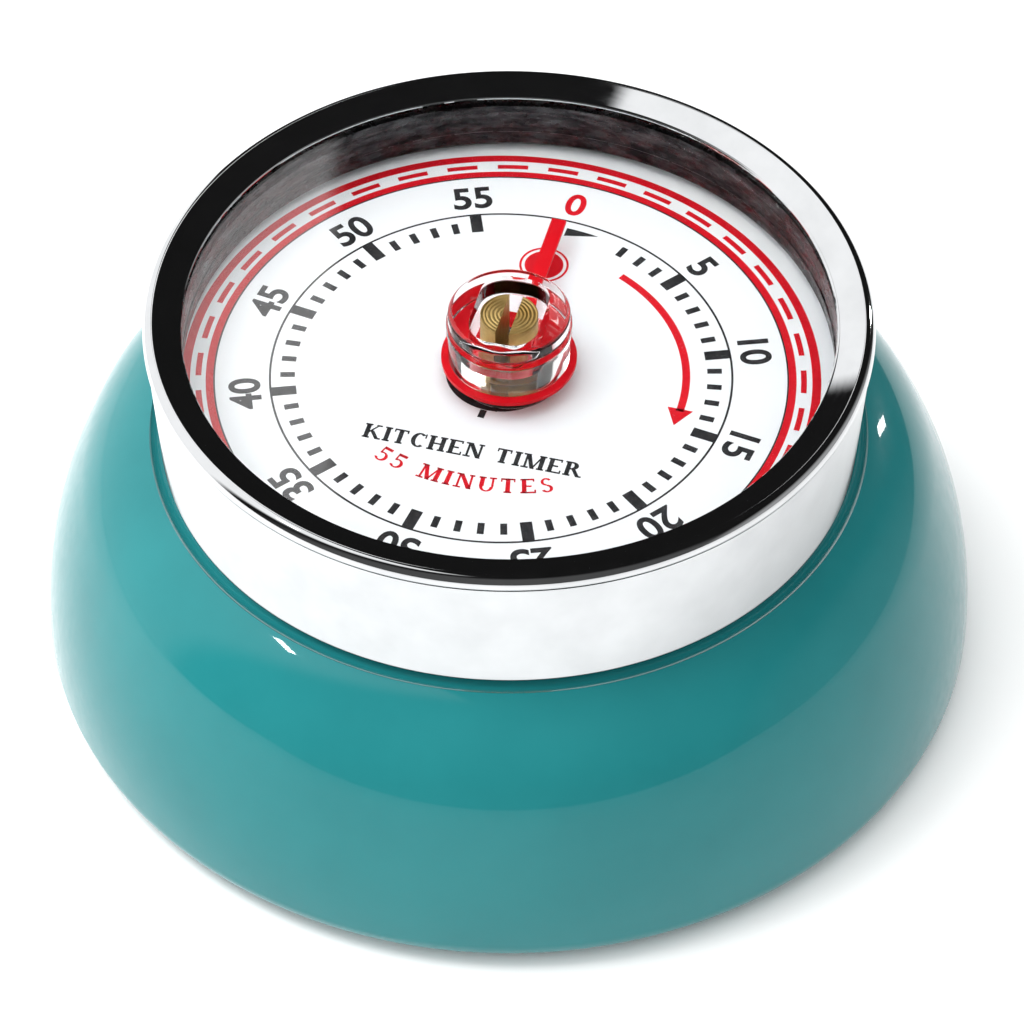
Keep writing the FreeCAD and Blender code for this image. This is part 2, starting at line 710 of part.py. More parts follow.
def make_lens():
    edge = S["hub_edge"]
    outline = [
        (0, S["hub_bottom"]),
        (S["hub_radius"], S["hub_bottom"]),
        (S["hub_radius"], S["lens_bottom"] - 0.3),
        (S["hub_radius"] + 0.3, S["lens_bottom"], -0.3),
        (S["lens_radius"], S["lens_bottom"]),
        (S["lens_radius"], S["lens_top"]),
        (S["hub_radius"] + 0.25, S["lens_top"]),
        (S["hub_radius"], S["lens_top"] + 0.25, -0.25),
        (S["hub_radius"], S["hub_top"] - edge),
        (S["hub_radius"] - edge, S["hub_top"], edge),
        (0, S["hub_top"]),
    ]
    body = new_body("lens_body")
    turn_profile(body, outline)
    half_width = S["window_width"] / 2
    half_length = S["window_length"] / 2
    corner = as_size(1.9)
    window = [
        (half_width, half_length - corner), (half_width - corner, half_length, corner),
        (-(half_width - corner), half_length), (-half_width, half_length - corner, corner),
        (-half_width, -(half_length - corner)), (-(half_width - corner), -half_length, corner),
        (half_width - corner, -half_length), (half_width, -(half_length - corner), corner),
    ]
    pocket(body, "lens_window", S["hub_top"], S["hub_top"] - S["window_floor"], window)
    pocket(body, "lens_bore", S["hub_top"], S["hub_top"] - S["hub_bottom"],
           circles=[((0, 0), S["arbor_end_radius"] + 0.02)])
    return keep(body, "lens")


def make_lens_retainer():
    wall = 0.4
    outer = S["lens_radius"] + 0.3
    outline = [
        (S["retainer_radius"], S["retainer_bottom"]),
        (S["retainer_radius"] + wall, S["retainer_bottom"]),
        (S["retainer_radius"] + wall, S["lens_bottom"] - wall),
        (outer, S["lens_bottom"] - wall),
        (outer, S["lens_bottom"]),
        (S["retainer_radius"], S["lens_bottom"]),
    ]
    return keep(turned_piece("retainer_turned", outline), "lens_retainer")


def make_pointer():
    disc = cylinder("pointer_disc", S["pointer_radius"], S["pointer_bottom"], S["pointer_thickness"])
    hand = bar("pointer_hand", (0, 0), 90, 3.0, S["hand_length"] - 3.0, S["hand_width"],
               S["pointer_bottom"], S["pointer_thickness"])
    bore = cylinder("pointer_bore", S["arbor_end_radius"] + 0.02,
                    S["pointer_bottom"], S["pointer_thickness"])
    return keep(cut("pointer_cut", fuse("pointer_blank", [disc, hand]), [bore]), "pointer")


def make_main_arbor():
    sections = [S["rear_plate_bottom"] - 0.3, (S["main_pivot"], rear_top + 0.1), (S["main_journal"], 25.9),
                (3.0, S["pointer_bottom"]), (S["arbor_end_radius"], S["arbor_end"])]
    blank = shaft("main_arbor_blank", sections)
    slot = bar("main_arbor_slot", (0, 0), 90, -4, 8, S["arbor_slot"], pointer_top + 0.3, 5)
    return keep(cut("main_arbor_cut", blank, [slot]), "main_arbor")


def make_release_cam():
    disc = cylinder("cam_disc", 5.2, CAM_BOTTOM, CAM_THICK)
    boss = cylinder("cam_boss", 3.4, CAM_BOTTOM, STOP_TOP - CAM_BOTTOM)
    arm = bar("cam_stop_arm", (0, 0), STOP_ANGLE - 15, 2.8, 4.3, 0.9, STOP_BOTTOM, STOP_TOP - STOP_BOTTOM)
    notch = cylinder("cam_notch", 1.0, CAM_BOTTOM, CAM_THICK, polar(5.9, 59))
    bore = cylinder("cam_bore", S["main_journal"] + 0.01, CAM_BOTTOM, STOP_TOP - CAM_BOTTOM)
    return keep(cut("release_cam_cut", fuse("cam_blank", [disc, boss, arm]), [notch, bore]), "release_cam")


def make_ratchet_wheel():
    teeth = 12
    tooth = [(3.4, 0.0), (3.66, 10.0), (3.93, 20.0), (4.2, 29.9)]
    shape = prism(ring_points(tooth, teeth), RATCHET_BOTTOM, RATCHET_THICK)
    bore = Part.makeCylinder(S["main_journal"].number + 0.01, RATCHET_THICK,
                             FreeCAD.Vector(0, 0, RATCHET_BOTTOM))
    return keep(coded("ratchet_coded", shape.cut(bore)), "ratchet_wheel")


def make_mainspring():
    inner = S["main_journal"].number + 0.2
    shape = spiral_shape(inner, S["mainspring_pitch"].number, 18, S["mainspring_strip"].number,
                         SPRING_BOTTOM, S["mainspring_height"].number)
    return keep(coded("mainspring_coded", shape), "mainspring")


# ---------------------------------------------------------------- going train

def mesh_turn(direction, teeth, gap):
    """Turn that brings a tooth, or the gap between two, onto the line of centres."""
    return direction + (180 / teeth if gap else 0)


def make_great_wheel():
    teeth = int(S["great_teeth"].number)
    shape = wheel_shape(teeth, S["great_module"].number, GREAT_BOTTOM, GREAT_THICK, main_bore.number, 5)
    wheel = coded("great_wheel_rim", shape, turn=mesh_turn(S["second_direction"].number, teeth, False))
    eye = turned_piece("great_wheel_eye", [(main_bore, GREAT_BOTTOM), (3.6, GREAT_BOTTOM),
                                           (3.6, RATCHET_BOTTOM - 0.1), (main_bore, RATCHET_BOTTOM - 0.1)])
    pad = cylinder("click_seat", 1.5, GREAT_BOTTOM, GREAT_THICK + 0.2, click_at)
    stud = cylinder("click_stud", 0.5, GREAT_BOTTOM, RATCHET_BOTTOM + RATCHET_THICK - GREAT_BOTTOM, click_at)
    arm = bar("click_seat_arm", (0, 0), 40, 3.2, 9.0, 1.2, GREAT_BOTTOM, GREAT_THICK)
    heel = cylinder("spring_seat", 0.5, GREAT_BOTTOM, RATCHET_BOTTOM + RATCHET_THICK - GREAT_BOTTOM,
                    click_spring_at)
    heel_arm = bar("spring_seat_arm", (0, 0), 5, 3.2, 9.0, 1.2, GREAT_BOTTOM, GREAT_THICK)
    return keep(fuse("great_wheel_fuse", [wheel, eye, pad, stud, arm, heel, heel_arm]), "great_wheel")


def make_click():
    tip = polar(3.62, 5.5)
    side = polar(0.9, 152.5, click_at)
    far_side = polar(0.9, -27.5, click_at)
    nose = polar(4.6, 3.0)
    blade = padded_piece("click_blade", RATCHET_BOTTOM, RATCHET_THICK, [tip, nose, far_side, side])
    hub = cylinder("click_hub", 1.1, RATCHET_BOTTOM, RATCHET_THICK, click_at)
    bore = cylinder("click_bore", 0.55, RATCHET_BOTTOM, RATCHET_THICK, click_at)
    return keep(cut("click_cut", fuse("click_fuse", [hub, blade]), [bore]), "click")


def make_click_spring():
    blade = bar("click_spring_blade", click_spring_at, 145, 0.55, 2.3, 0.2, RATCHET_BOTTOM, RATCHET_THICK)
    eye = cylinder("click_spring_eye", 0.8, RATCHET_BOTTOM, RATCHET_THICK, click_spring_at)
    bore = cylinder("click_spring_bore", 0.51, RATCHET_BOTTOM, RATCHET_THICK, click_spring_at)
    return keep(cut("click_spring_cut", fuse("click_spring_fuse", [blade, eye]), [bore]), "click_spring")


def make_arbor(name, at, pinion_bottom, pinion_height, leaves, module, turn):
    """Arbor with its pinion cut from the same rod, and a pivot at each end."""
    rod = shaft(name + "_rod", [S["rear_plate_bottom"], (S["pivot_radius"], rear_top + 0.15),
                                (S["arbor_radius"], front_bottom - 0.15),
                                (S["pivot_radius"], front_top)], at)
    if not leaves:
        return keep(rod, name)
    pinion = coded(name + "_pinion", pinion_shape(leaves, module, pinion_bottom, pinion_height), at, turn)
    return keep(fuse(name + "_fuse", [rod, pinion]), name)


def make_wheel(name, at, teeth, module, bottom, direction):
    shape = wheel_shape(teeth, module, bottom, WHEEL_THICK, S["arbor_radius"].number)
    wheel = coded(name + "_rim", shape, at, mesh_turn(direction, teeth, False))
    return keep(wheel, name)


def make_train():
    second_leaves = int(S["second_leaves"].number)
    third_leaves = int(S["third_leaves"].number)
    escape_leaves = int(S["escape_leaves"].number)
    second_way = S["second_direction"].number
    third_way = S["third_direction"].number
    escape_way = S["escape_direction"].number
    make_arbor("second_arbor", second_at, GREAT_BOTTOM - 0.1, 1.6, second_leaves, S["great_module"].number,
               mesh_turn(second_way + 180, second_leaves, True))
    make_wheel("second_wheel", second_at, int(S["second_teeth"].number), S["second_module"].number,
               SECOND_BOTTOM, third_way)
    make_arbor("third_arbor", third_at, SECOND_BOTTOM - 0.4, 1.3, third_leaves, S["second_module"].number,
               mesh_turn(third_way + 180, third_leaves, True))
    make_wheel("third_wheel", third_at, int(S["third_teeth"].number), S["third_module"].number,
               THIRD_BOTTOM, escape_way)
    make_arbor("escape_arbor", escape_at, THIRD_BOTTOM - 0.4, 1.3, escape_leaves, S["third_module"].number,
               mesh_turn(escape_way + 180, escape_leaves, True))
    make_arbor("pallet_arbor", pallet_at, 0, 0, 0, 0, 0)
    make_arbor("balance_staff", balance_at, 0, 0, 0, 0, 0)


def make_escape_wheel():
    teeth = int(S["escape_teeth"].number)
    tip = S["escape_radius"].number
    tooth = [(tip - 1.5, 0.0), (tip, 5.0), (tip, 7.0), (tip - 1.3, 13.0)]
    shape = prism(ring_points(tooth, teeth), ESCAPE_BOTTOM, ESCAPE_THICK)
    for index in range(5):
        centre = FreeCAD.Vector(*[axis * 2.0 for axis in (math.cos(index * 2 * math.pi / 5),
                                                         math.sin(index * 2 * math.pi / 5))], ESCAPE_BOTTOM)
        shape = shape.cut(Part.makeCylinder(0.62, ESCAPE_THICK, centre))
    bore = Part.makeCylinder(S["arbor_radius"].number, ESCAPE_THICK, FreeCAD.Vector(0, 0, ESCAPE_BOTTOM))
    return keep(coded("escape_wheel_coded", shape.cut(bore), escape_at), "escape_wheel")


def make_strike_star():
    tooth = [(2.0, 0.0), (2.9, 12.0), (2.9, 18.0), (2.0, 30.0)]
    shape = prism(ring_points(tooth, 10), STAR_BOTTOM, 0.8)
    bore = Part.makeCylinder(S["arbor_radius"].number, 0.8, FreeCAD.Vector(0, 0, STAR_BOTTOM))
    return keep(coded("strike_star_coded", shape.cut(bore), second_at), "strike_star")


# ---------------------------------------------------------------- escapement and balance

PALLET_SPREAD = 42
pallet_pins_at = [polar(5.6, S["pallet_direction"] + side * PALLET_SPREAD, escape_at) for side in (1, -1)]


def make_pallet_lever():
    reach = 4.36
    lean = 59.3
    arms = [bar(f"pallet_arm_{side}", pallet_at, S["pallet_direction"] + 180 - side * lean,
                0, reach + 0.3, 0.7, LEVER_BOTTOM, LEVER_THICK) for side in (1, -1)]
    ends = [cylinder(f"pallet_end_{n}", 0.5, LEVER_BOTTOM, LEVER_THICK, at)
            for n, at in enumerate(pallet_pins_at)]
    fork = bar("fork_arm", pallet_at, S["balance_direction"], 0, S["fork_length"] + 0.1, 1.7,
               LEVER_BOTTOM, LEVER_THICK)
    hub = cylinder("pallet_hub", 1.4, LEVER_BOTTOM, LEVER_THICK, pallet_at)
    slot = bar("fork_slot", pallet_at, S["balance_direction"], S["fork_length"] - 0.8, 2, 0.84,
               LEVER_BOTTOM, LEVER_THICK)
    bore = cylinder("pallet_bore", S["arbor_radius"], LEVER_BOTTOM, LEVER_THICK, pallet_at)
    holes = [cylinder(f"pallet_pin_hole_{n}", 0.25, LEVER_BOTTOM, LEVER_THICK, at)
             for n, at in enumerate(pallet_pins_at)]
    blank = fuse("pallet_lever_fuse", arms + ends + [fork, hub])
    return keep(cut("pallet_lever_cut", blank, [slot, bore] + holes), "pallet_lever")


def make_pallet_pins():
    pin_bottom = ESCAPE_BOTTOM - 0.2
    pins = [cylinder(f"pallet_pin_{n}", 0.25, pin_bottom, LEVER_BOTTOM + LEVER_THICK - pin_bottom, at)
            for n, at in enumerate(pallet_pins_at)]
    return keep(group("pallet_pin_group", pins), "pallet_pins")


def make_balance_wheel():
    rim = padded_piece("balance_rim", BALANCE_BOTTOM, BALANCE_THICK, circles=[((0, 0), 5.1), ((0, 0), 4.2)],
                       at=balance_at)
    arms = [bar(f"balance_arm_{angle}", balance_at, angle, 0, 4.5, 0.9,
                BALANCE_BOTTOM + 0.1, BALANCE_THICK - 0.2)
            for angle in (30, 150, 270)]
    eye = cylinder("balance_eye", 1.4, BALANCE_BOTTOM, BALANCE_THICK, balance_at)
    bore = cylinder("balance_bore", S["arbor_radius"], BALANCE_BOTTOM, BALANCE_THICK, balance_at)
    return keep(cut("balance_cut", fuse("balance_fuse", [rim, eye] + arms), [bore]), "balance_wheel")


def make_roller():
    pin_at = polar(S["fork_length"], S["balance_direction"], pallet_at)
    disc = cylinder("roller_disc", 1.6, ROLLER_BOTTOM, 0.5, balance_at)
    bore = cylinder("roller_bore", S["arbor_radius"], ROLLER_BOTTOM, 0.5, balance_at)
    pin = cylinder("impulse_pin", 0.3, LEVER_BOTTOM, ROLLER_BOTTOM + 0.5 - LEVER_BOTTOM, pin_at)
    return keep(fuse("roller_fuse", [cut("roller_cut", disc, [bore]), pin]), "impulse_roller")


def make_hairspring():
    shape = spiral_shape(1.0, S["hairspring_pitch"].number, 12, S["hairspring_strip"].number,
                         HAIRSPRING_BOTTOM, 0.5)
    return keep(coded("hairspring_coded", shape, balance_at, 30), "hairspring")


def make_hairspring_stud():
    stud = shaft("hairspring_stud_turned", [HAIRSPRING_BOTTOM - 0.2, (0.45, front_bottom), (0.3, front_top)],
                 hairspring_stud_at)
    return keep(stud, "hairspring_stud")


# ---------------------------------------------------------------- striking work

def make_strike_lever():
    nose_way = -61.1
    nose_length = 8.9
    nose = bar("strike_nose_arm", strike_at, nose_way, 0, nose_length, 1.2, CAM_BOTTOM, CAM_THICK)
    tooth = cylinder("strike_nose", 0.75, CAM_BOTTOM, CAM_THICK,
                     polar(nose_length, nose_way, strike_at))
    tail = bar("strike_tail", strike_at, 198, 0, 12.4, 1.2, CAM_BOTTOM, CAM_THICK)
    hub = cylinder("strike_hub", 1.6, CAM_BOTTOM, CAM_THICK, strike_at)
    bore = cylinder("strike_bore", 0.75, CAM_BOTTOM, CAM_THICK, strike_at)
    blank = fuse("strike_lever_fuse", [nose, tooth, tail, hub])
    return keep(cut("strike_lever_cut", blank, [bore]), "strike_lever")


def make_strike_stud():
    sections = [CAM_BOTTOM - 0.6, (1.2, CAM_BOTTOM - 0.1), (0.7, front_top)]
    return keep(shaft("strike_stud_turned", sections, strike_at), "strike_lever_stud")


def make_stop_pin():
    sections = [STOP_BOTTOM - 0.1, (0.5, front_bottom), (0.4, front_top)]
    return keep(shaft("stop_pin_turned", sections, stop_pin_at), "stop_pin")


def make_spring_post():
    sections = [SPRING_BOTTOM - 0.2, (0.8, front_bottom), (0.6, front_top)]
    return keep(shaft("spring_post_turned", sections, spring_post_at), "mainspring_post")


def make_lever_spring():
    stud = shaft("lever_spring_stud", [CAM_BOTTOM, (0.5, front_bottom), (0.3, front_top)], lever_spring_at)
    blade = bar("lever_spring_blade", lever_spring_at, 189, 0, 8.0, 0.2, CAM_BOTTOM + 0.1, CAM_THICK - 0.2)
    return keep(fuse("lever_spring_fuse", [stud, blade]), "strike_lever_spring")


def make_hammer_arbor():
    sections = [5.6, (0.7, front_bottom - 0.15), (S["pivot_radius"], front_top)]
    return keep(shaft("hammer_arbor_turned", sections, hammer_at), "hammer_arbor")


def make_hammer():
    way = 69.0
    bottom = 6.9
    arm = bar("hammer_arm", hammer_at, way, 0, 8.0, 1.4, bottom, 1.0)
    head = cylinder("hammer_head", 1.3, bottom - 0.6, 2.6, polar(8.2, way, hammer_at))
    hub = cylinder("hammer_hub", 1.6, bottom, 1.0, hammer_at)
    bore = cylinder("hammer_bore", 0.7, bottom, 1.0, hammer_at)
    return keep(cut("hammer_cut", fuse("hammer_fuse", [arm, head, hub]), [bore]), "hammer")


def make_hammer_verge():
    arms = [bar(f"verge_arm_{n}", hammer_at, way, 0, 9.3, 0.8, STAR_BOTTOM, 0.8)
            for n, way in enumerate((-37.5, -76.0))]
    hub = cylinder("verge_hub", 1.5, STAR_BOTTOM, 0.8, hammer_at)
    bore = cylinder("verge_bore", 0.7, STAR_BOTTOM, 0.8, hammer_at)
    return keep(cut("verge_cut", fuse("verge_fuse", [hub] + arms), [bore]), "hammer_verge")


def make_hammer_catch():
    arm = bar("catch_arm", hammer_at, 15.0, 0, 6.0, 0.9, CAM_BOTTOM, CAM_THICK)
    hub = cylinder("catch_hub", 1.4, CAM_BOTTOM, CAM_THICK, hammer_at)
    bore = cylinder("catch_bore", 0.7, CAM_BOTTOM, CAM_THICK, hammer_at)
    return keep(cut("catch_cut", fuse("catch_fuse", [hub, arm]), [bore]), "hammer_catch")


# ---------------------------------------------------------------- build, check and write

def build():
    for make in (make_body_shell, make_base_plate, make_magnets, make_base_screws, make_standoffs, make_bell,
                 make_bell_post, make_bell_nut, make_rear_plate, make_front_plate, make_front_bushing,
                 make_pillars, make_pillar_nuts, make_case_screws, make_dial_plate, make_dial_feet,
                 make_bezel_ring, make_lens, make_lens_retainer, make_pointer, make_main_arbor,
                 make_release_cam, make_ratchet_wheel, make_mainspring, make_great_wheel, make_click,
                 make_click_spring, make_train, make_escape_wheel, make_strike_star, make_pallet_lever,
                 make_pallet_pins, make_balance_wheel, make_roller, make_hairspring, make_hairspring_stud,
                 make_strike_lever, make_strike_stud, make_stop_pin, make_spring_post, make_lever_spring,
                 make_hammer_arbor, make_hammer, make_hammer_verge, make_hammer_catch):
        make()
    doc.recompute()


def check():
    for item in doc.Objects:
        if "Invalid" in item.State or "Error" in item.State:
            raise ValueError(f"{item.Label} failed: {item.State}")
    for part in PARTS:
        if part.Shape.isNull() or not part.Shape.isValid() or not part.Shape.Solids:
            raise ValueError(f"{part.Label} has no sound solid")


def write():
    os.makedirs("parts", exist_ok=True)
    for part in PARTS:
        part.Shape.exportStep(f"parts/{part.Label}.step")
        print(f"{part.Label:22s} solids {len(part.Shape.Solids)}  volume {part.Shape.Volume:9.2f} mm3")


build()
check()
write()
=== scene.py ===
import math

import bmesh
import bpy
from mathutils import Euler, Matrix, Vector


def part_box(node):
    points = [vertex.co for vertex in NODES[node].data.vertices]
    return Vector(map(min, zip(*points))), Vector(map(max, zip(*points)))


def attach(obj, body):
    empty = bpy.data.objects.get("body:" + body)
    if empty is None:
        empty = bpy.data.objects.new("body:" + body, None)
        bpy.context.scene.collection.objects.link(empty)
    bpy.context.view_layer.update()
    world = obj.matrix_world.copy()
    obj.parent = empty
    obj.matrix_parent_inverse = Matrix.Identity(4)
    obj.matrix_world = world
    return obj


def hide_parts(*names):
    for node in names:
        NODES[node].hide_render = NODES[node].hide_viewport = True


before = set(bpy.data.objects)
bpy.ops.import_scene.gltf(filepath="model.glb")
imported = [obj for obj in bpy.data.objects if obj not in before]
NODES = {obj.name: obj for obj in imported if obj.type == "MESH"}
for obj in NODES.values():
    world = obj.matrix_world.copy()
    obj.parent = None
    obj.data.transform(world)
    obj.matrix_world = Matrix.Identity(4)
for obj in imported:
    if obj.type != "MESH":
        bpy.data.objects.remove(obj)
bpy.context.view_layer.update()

# A mechanical kitchen timer: spun enamelled shell, chromed turning ring with an acrylic lens and
# hub, printed dial and brass movement. Lengths are millimetres here and become metres in meshes.

MM = 0.001


def extent(node):
    """Lowest and highest corner of a CAD node in millimetres."""
    low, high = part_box(node)
    return low / MM, high / MM


SHELL_LOW, SHELL_HIGH = extent("body_shell")
RING_LOW, RING_HIGH = extent("bezel_ring")
LENS_LOW, LENS_HIGH = extent("lens")
RETAINER_LOW, RETAINER_HIGH = extent("lens_retainer")
DIAL_TOP = extent("dial_plate")[1].z
PLATE_LOW, PLATE_TOP = 29.8, 31.0      # heights of the lens's flat plate
TURNS = 288                    # steps round a turned piece
CREASE = 32                    # degrees; sharper edges than this stay sharp
ARC_STEP = 0.12                # longest chord in an arc of an outline
EDGE_GUARD = 0.06              # a straight run has points this near its ends, which keep it flat

# ------------------------------------------------------------------------------ mesh tools


def arc_points(start, end, radius):
    """Points after start along an arc; a positive radius bulges to the right of the way along."""
    start, end = Vector(start), Vector(end)
    chord = end - start
    reach = math.sqrt(max(radius * radius - chord.length_squared / 4, 0.0))
    left = Vector((-chord.y, chord.x)).normalized()
    centre = (start + end) / 2 + left * math.copysign(reach, radius)
    first = math.atan2(start.y - centre.y, start.x - centre.x)
    last = math.atan2(end.y - centre.y, end.x - centre.x)
    turn = (last - first) % math.tau if radius > 0 else -((first - last) % math.tau)
    count = max(3, math.ceil(abs(turn * radius) / ARC_STEP))
    return [centre + abs(radius) * Vector((math.cos(first + turn * n / count),
                                           math.sin(first + turn * n / count)))
            for n in range(1, count + 1)]


def sample(outline):
    """A closed outline's points: an entry is a point, or a point and the radius of its arc."""
    points = []
    for index, entry in enumerate(outline):
        before = Vector(outline[index - 1][:2])
        if len(entry) == 3:
            points += arc_points(before, entry[:2], entry[2])
            continue
        end = Vector(entry)
        run = end - before
        if run.length > 4 * EDGE_GUARD:
            step = run.normalized() * EDGE_GUARD
            points += [before + step, end - step]
        points.append(end)
    return points


class Builder:
    """Collects closed solids, in millimetres, into one mesh."""

    def __init__(self):
        self.verts = []
        self.faces = []

    def add(self, verts, faces, place=None):
        base = len(self.verts)
        place = place or Matrix.Identity(4)
        self.verts += [place @ Vector(vert) for vert in verts]
        self.faces += [[base + index for index in face] for face in faces]

    def turned(self, points, turns=TURNS):
        """Turn a closed outline of (radius, height) points about Z."""
        rings = []
        verts = []
        for point in points:
            if point[0] < 1e-6:
                rings.append([len(verts)] * turns)
                verts.append((0, 0, point[1]))
                continue
            rings.append(list(range(len(verts), len(verts) + turns)))
            verts += [(point[0] * math.cos(math.tau * n / turns),
                       point[0] * math.sin(math.tau * n / turns), point[1]) for n in range(turns)]
        faces = []
        for index, ring in enumerate(rings):
            under = rings[index - 1]
            for n in range(turns):
                after = (n + 1) % turns
                corners = list(dict.fromkeys((under[n], under[after], ring[after], ring[n])))
                if len(corners) > 2:
                    faces.append(corners)
        self.add(verts, faces)

    def prism(self, points, low, high, place=None):
        """A flat outline of (x, y) points between two heights."""
        count = len(points)
        verts = [(x, y, low) for x, y in points] + [(x, y, high) for x, y in points]
        faces = [list(range(count))[::-1], list(range(count, 2 * count))]
        faces += [(n, (n + 1) % count, count + (n + 1) % count, count + n) for n in range(count)]
        self.add(verts, faces, place)

    def mesh(self, name, crease=CREASE):
        data = bpy.data.meshes.new(name)
        data.from_pydata([vert * MM for vert in self.verts], [], self.faces)
        edit = bmesh.new()
        edit.from_mesh(data)
        bmesh.ops.recalc_face_normals(edit, faces=edit.faces)
        edit.to_mesh(data)
        edit.free()
        data.shade_smooth()
        data.set_sharp_from_angle(angle=math.radians(crease))
        return data

    def piece(self, name, body, slot, material, crease=CREASE, replaced=()):
        """Make the mesh an object that rides a body and may stand in for CAD nodes."""
        made = bpy.data.objects.new(name, self.mesh(name, crease))
        bpy.context.scene.collection.objects.link(made)
        made.data.materials.append(material)
        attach(made, body)
        if replaced:
            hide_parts(*replaced)
        return made


def band(inner, outer, start, end, step=1.0):
    """Flat outline of a curved strip; angles run clockwise from the Y axis, in degrees."""
    count = max(2, math.ceil(abs(end - start) / step))
    angles = [start + (end - start) * n / count for n in range(count + 1)]
    points = [dial_point(outer, angle) for angle in angles]
    return points + [dial_point(inner, angle) for angle in reversed(angles)]


def dial_point(radius, angle):
    return (radius * math.sin(math.radians(angle)), radius * math.cos(math.radians(angle)))


# ------------------------------------------------------------------------------ materials


class Nodes:
    """The node tree of one material, with short ways to add to it."""

    def __init__(self, name):
        self.material = bpy.data.materials.get(name) or bpy.data.materials.new(name)
        self.material.use_nodes = True
        self.tree = self.material.node_tree
        self.tree.nodes.clear()
        self.output = self.tree.nodes.new("ShaderNodeOutputMaterial")
        self.shader = self.tree.nodes.new("ShaderNodeBsdfPrincipled")
        self.link(self.shader.outputs[0], self.output.inputs["Surface"])
        self.coords = self.tree.nodes.new("ShaderNodeTexCoord").outputs["Object"]

    def link(self, source, target):
        self.tree.links.new(source, target)

    def node(self, kind, **values):
        """Add a node; a value is one of its settings or the default of one of its sockets."""
        made = self.tree.nodes.new(kind)
        for name, value in values.items():
            if hasattr(made, name):
                setattr(made, name, value)
            else:
                made.inputs[name.replace("_", " ")].default_value = value
        return made

    def set(self, **values):
        for name, value in values.items():
            self.shader.inputs[name.replace("_", " ")].default_value = value

    def stretched(self, scale):
        mapping = self.node("ShaderNodeMapping", Scale=scale)
        self.link(self.coords, mapping.inputs["Vector"])
        return mapping.outputs[0]

    def around(self, across, along, vertical):
        """Coordinates (radius, way round, height), each scaled."""
        split = self.node("ShaderNodeSeparateXYZ")
        self.link(self.coords, split.inputs[0])
        turn = self.node("ShaderNodeMath", operation="ARCTAN2")
        self.link(split.outputs[1], turn.inputs[0])
        self.link(split.outputs[0], turn.inputs[1])
        flat = self.node("ShaderNodeCombineXYZ")
        self.link(split.outputs[0], flat.inputs[0])
        self.link(split.outputs[1], flat.inputs[1])
        size = self.node("ShaderNodeVectorMath", operation="LENGTH")
        self.link(flat.outputs[0], size.inputs[0])
        joined = self.node("ShaderNodeCombineXYZ")
        for slot, (source, scale) in enumerate(((size.outputs["Value"], across),
                                                (turn.outputs[0], along),
                                                (split.outputs[2], vertical))):
            times = self.node("ShaderNodeMath", operation="MULTIPLY")
            times.inputs[1].default_value = scale
            self.link(source, times.inputs[0])
            self.link(times.outputs[0], joined.inputs[slot])
        return joined.outputs[0]

    def noise(self, scale, detail=3.0, roughness=0.5, vector=None):
        made = self.node("ShaderNodeTexNoise", Scale=scale, Detail=detail, Roughness=roughness)
        self.link(vector or self.coords, made.inputs["Vector"])
        return made.outputs["Fac"]

    def between(self, source, low, high, start=0.3, end=0.7):
        """Map a source that runs from start to end onto low to high."""
        made = self.node("ShaderNodeMapRange")
        for index, value in enumerate((start, end, low, high), 1):
            made.inputs[index].default_value = value
        self.link(source, made.inputs[0])
        return made.outputs[0]

    def colours(self, source, low, high, start=0.3, end=0.7):
        ramp = self.node("ShaderNodeValToRGB")
        ramp.color_ramp.elements[0].position = start
        ramp.color_ramp.elements[0].color = (*low, 1)
        ramp.color_ramp.elements[1].position = end
        ramp.color_ramp.elements[1].color = (*high, 1)
        self.link(source, ramp.inputs[0])
        return ramp.outputs[0]

    def paint(self, colour):
        self.link(colour, self.shader.inputs["Base Color"])

    def rough(self, value):
        self.link(value, self.shader.inputs["Roughness"])

    def bump(self, height, depth):
        made = self.node("ShaderNodeBump", Strength=1.0, Distance=depth * MM)
        self.link(height, made.inputs["Height"])
        self.link(made.outputs[0], self.shader.inputs["Normal"])


def enamel_material(name, low, high, coat=1.0):
    """Sprayed gloss enamel: slow colour drift, faint orange peel under a clear gloss."""
    nodes = Nodes(name)
    nodes.set(Coat_Weight=coat, Coat_Roughness=0.04, Coat_IOR=1.36, Specular_IOR_Level=0.05)
    nodes.paint(nodes.colours(nodes.noise(90, 4, 0.55), low, high))
    nodes.rough(nodes.between(nodes.noise(900, 2), 0.28, 0.36))
    nodes.bump(nodes.noise(650, 2, 0.4), 0.004)
    return nodes.material


def metal_material(name, low, high, rough_low, rough_high, vector_scale=(1, 1, 1), grain=2500,
                   depth=0.002, circular=False):
    """Bare or plated metal with a worked grain: straight, or round the Z axis."""
    nodes = Nodes(name)
    nodes.set(Metallic=1.0)
    grain_way = nodes.around(*vector_scale) if circular else nodes.stretched(vector_scale)
    worked = nodes.noise(grain, 4, 0.6, grain_way)
    nodes.paint(nodes.colours(nodes.noise(220, 3, 0.6), low, high))
    nodes.rough(nodes.between(worked, rough_low, rough_high))
    nodes.bump(worked, depth)
    return nodes.material


def print_material(name, low, high):
    """Screen-printed ink: slightly uneven cover and a satin sheen."""
    nodes = Nodes(name)
    nodes.set(Specular_IOR_Level=0.08)
    nodes.paint(nodes.colours(nodes.noise(1800, 4, 0.7), low, high))
    nodes.rough(nodes.between(nodes.noise(900, 2), 0.32, 0.46))
    nodes.bump(nodes.noise(5000, 2), 0.002)
    return nodes.material


def dial_material():
    nodes = Nodes("dial_enamel")
    nodes.set(Specular_IOR_Level=0.1)
    nodes.paint(nodes.colours(nodes.noise(60, 3, 0.5), (0.85, 0.88, 0.92), (0.91, 0.93, 0.95)))
    nodes.rough(nodes.between(nodes.noise(1500, 2), 0.3, 0.4))
    nodes.bump(nodes.noise(2200, 3), 0.002)
    return nodes.material


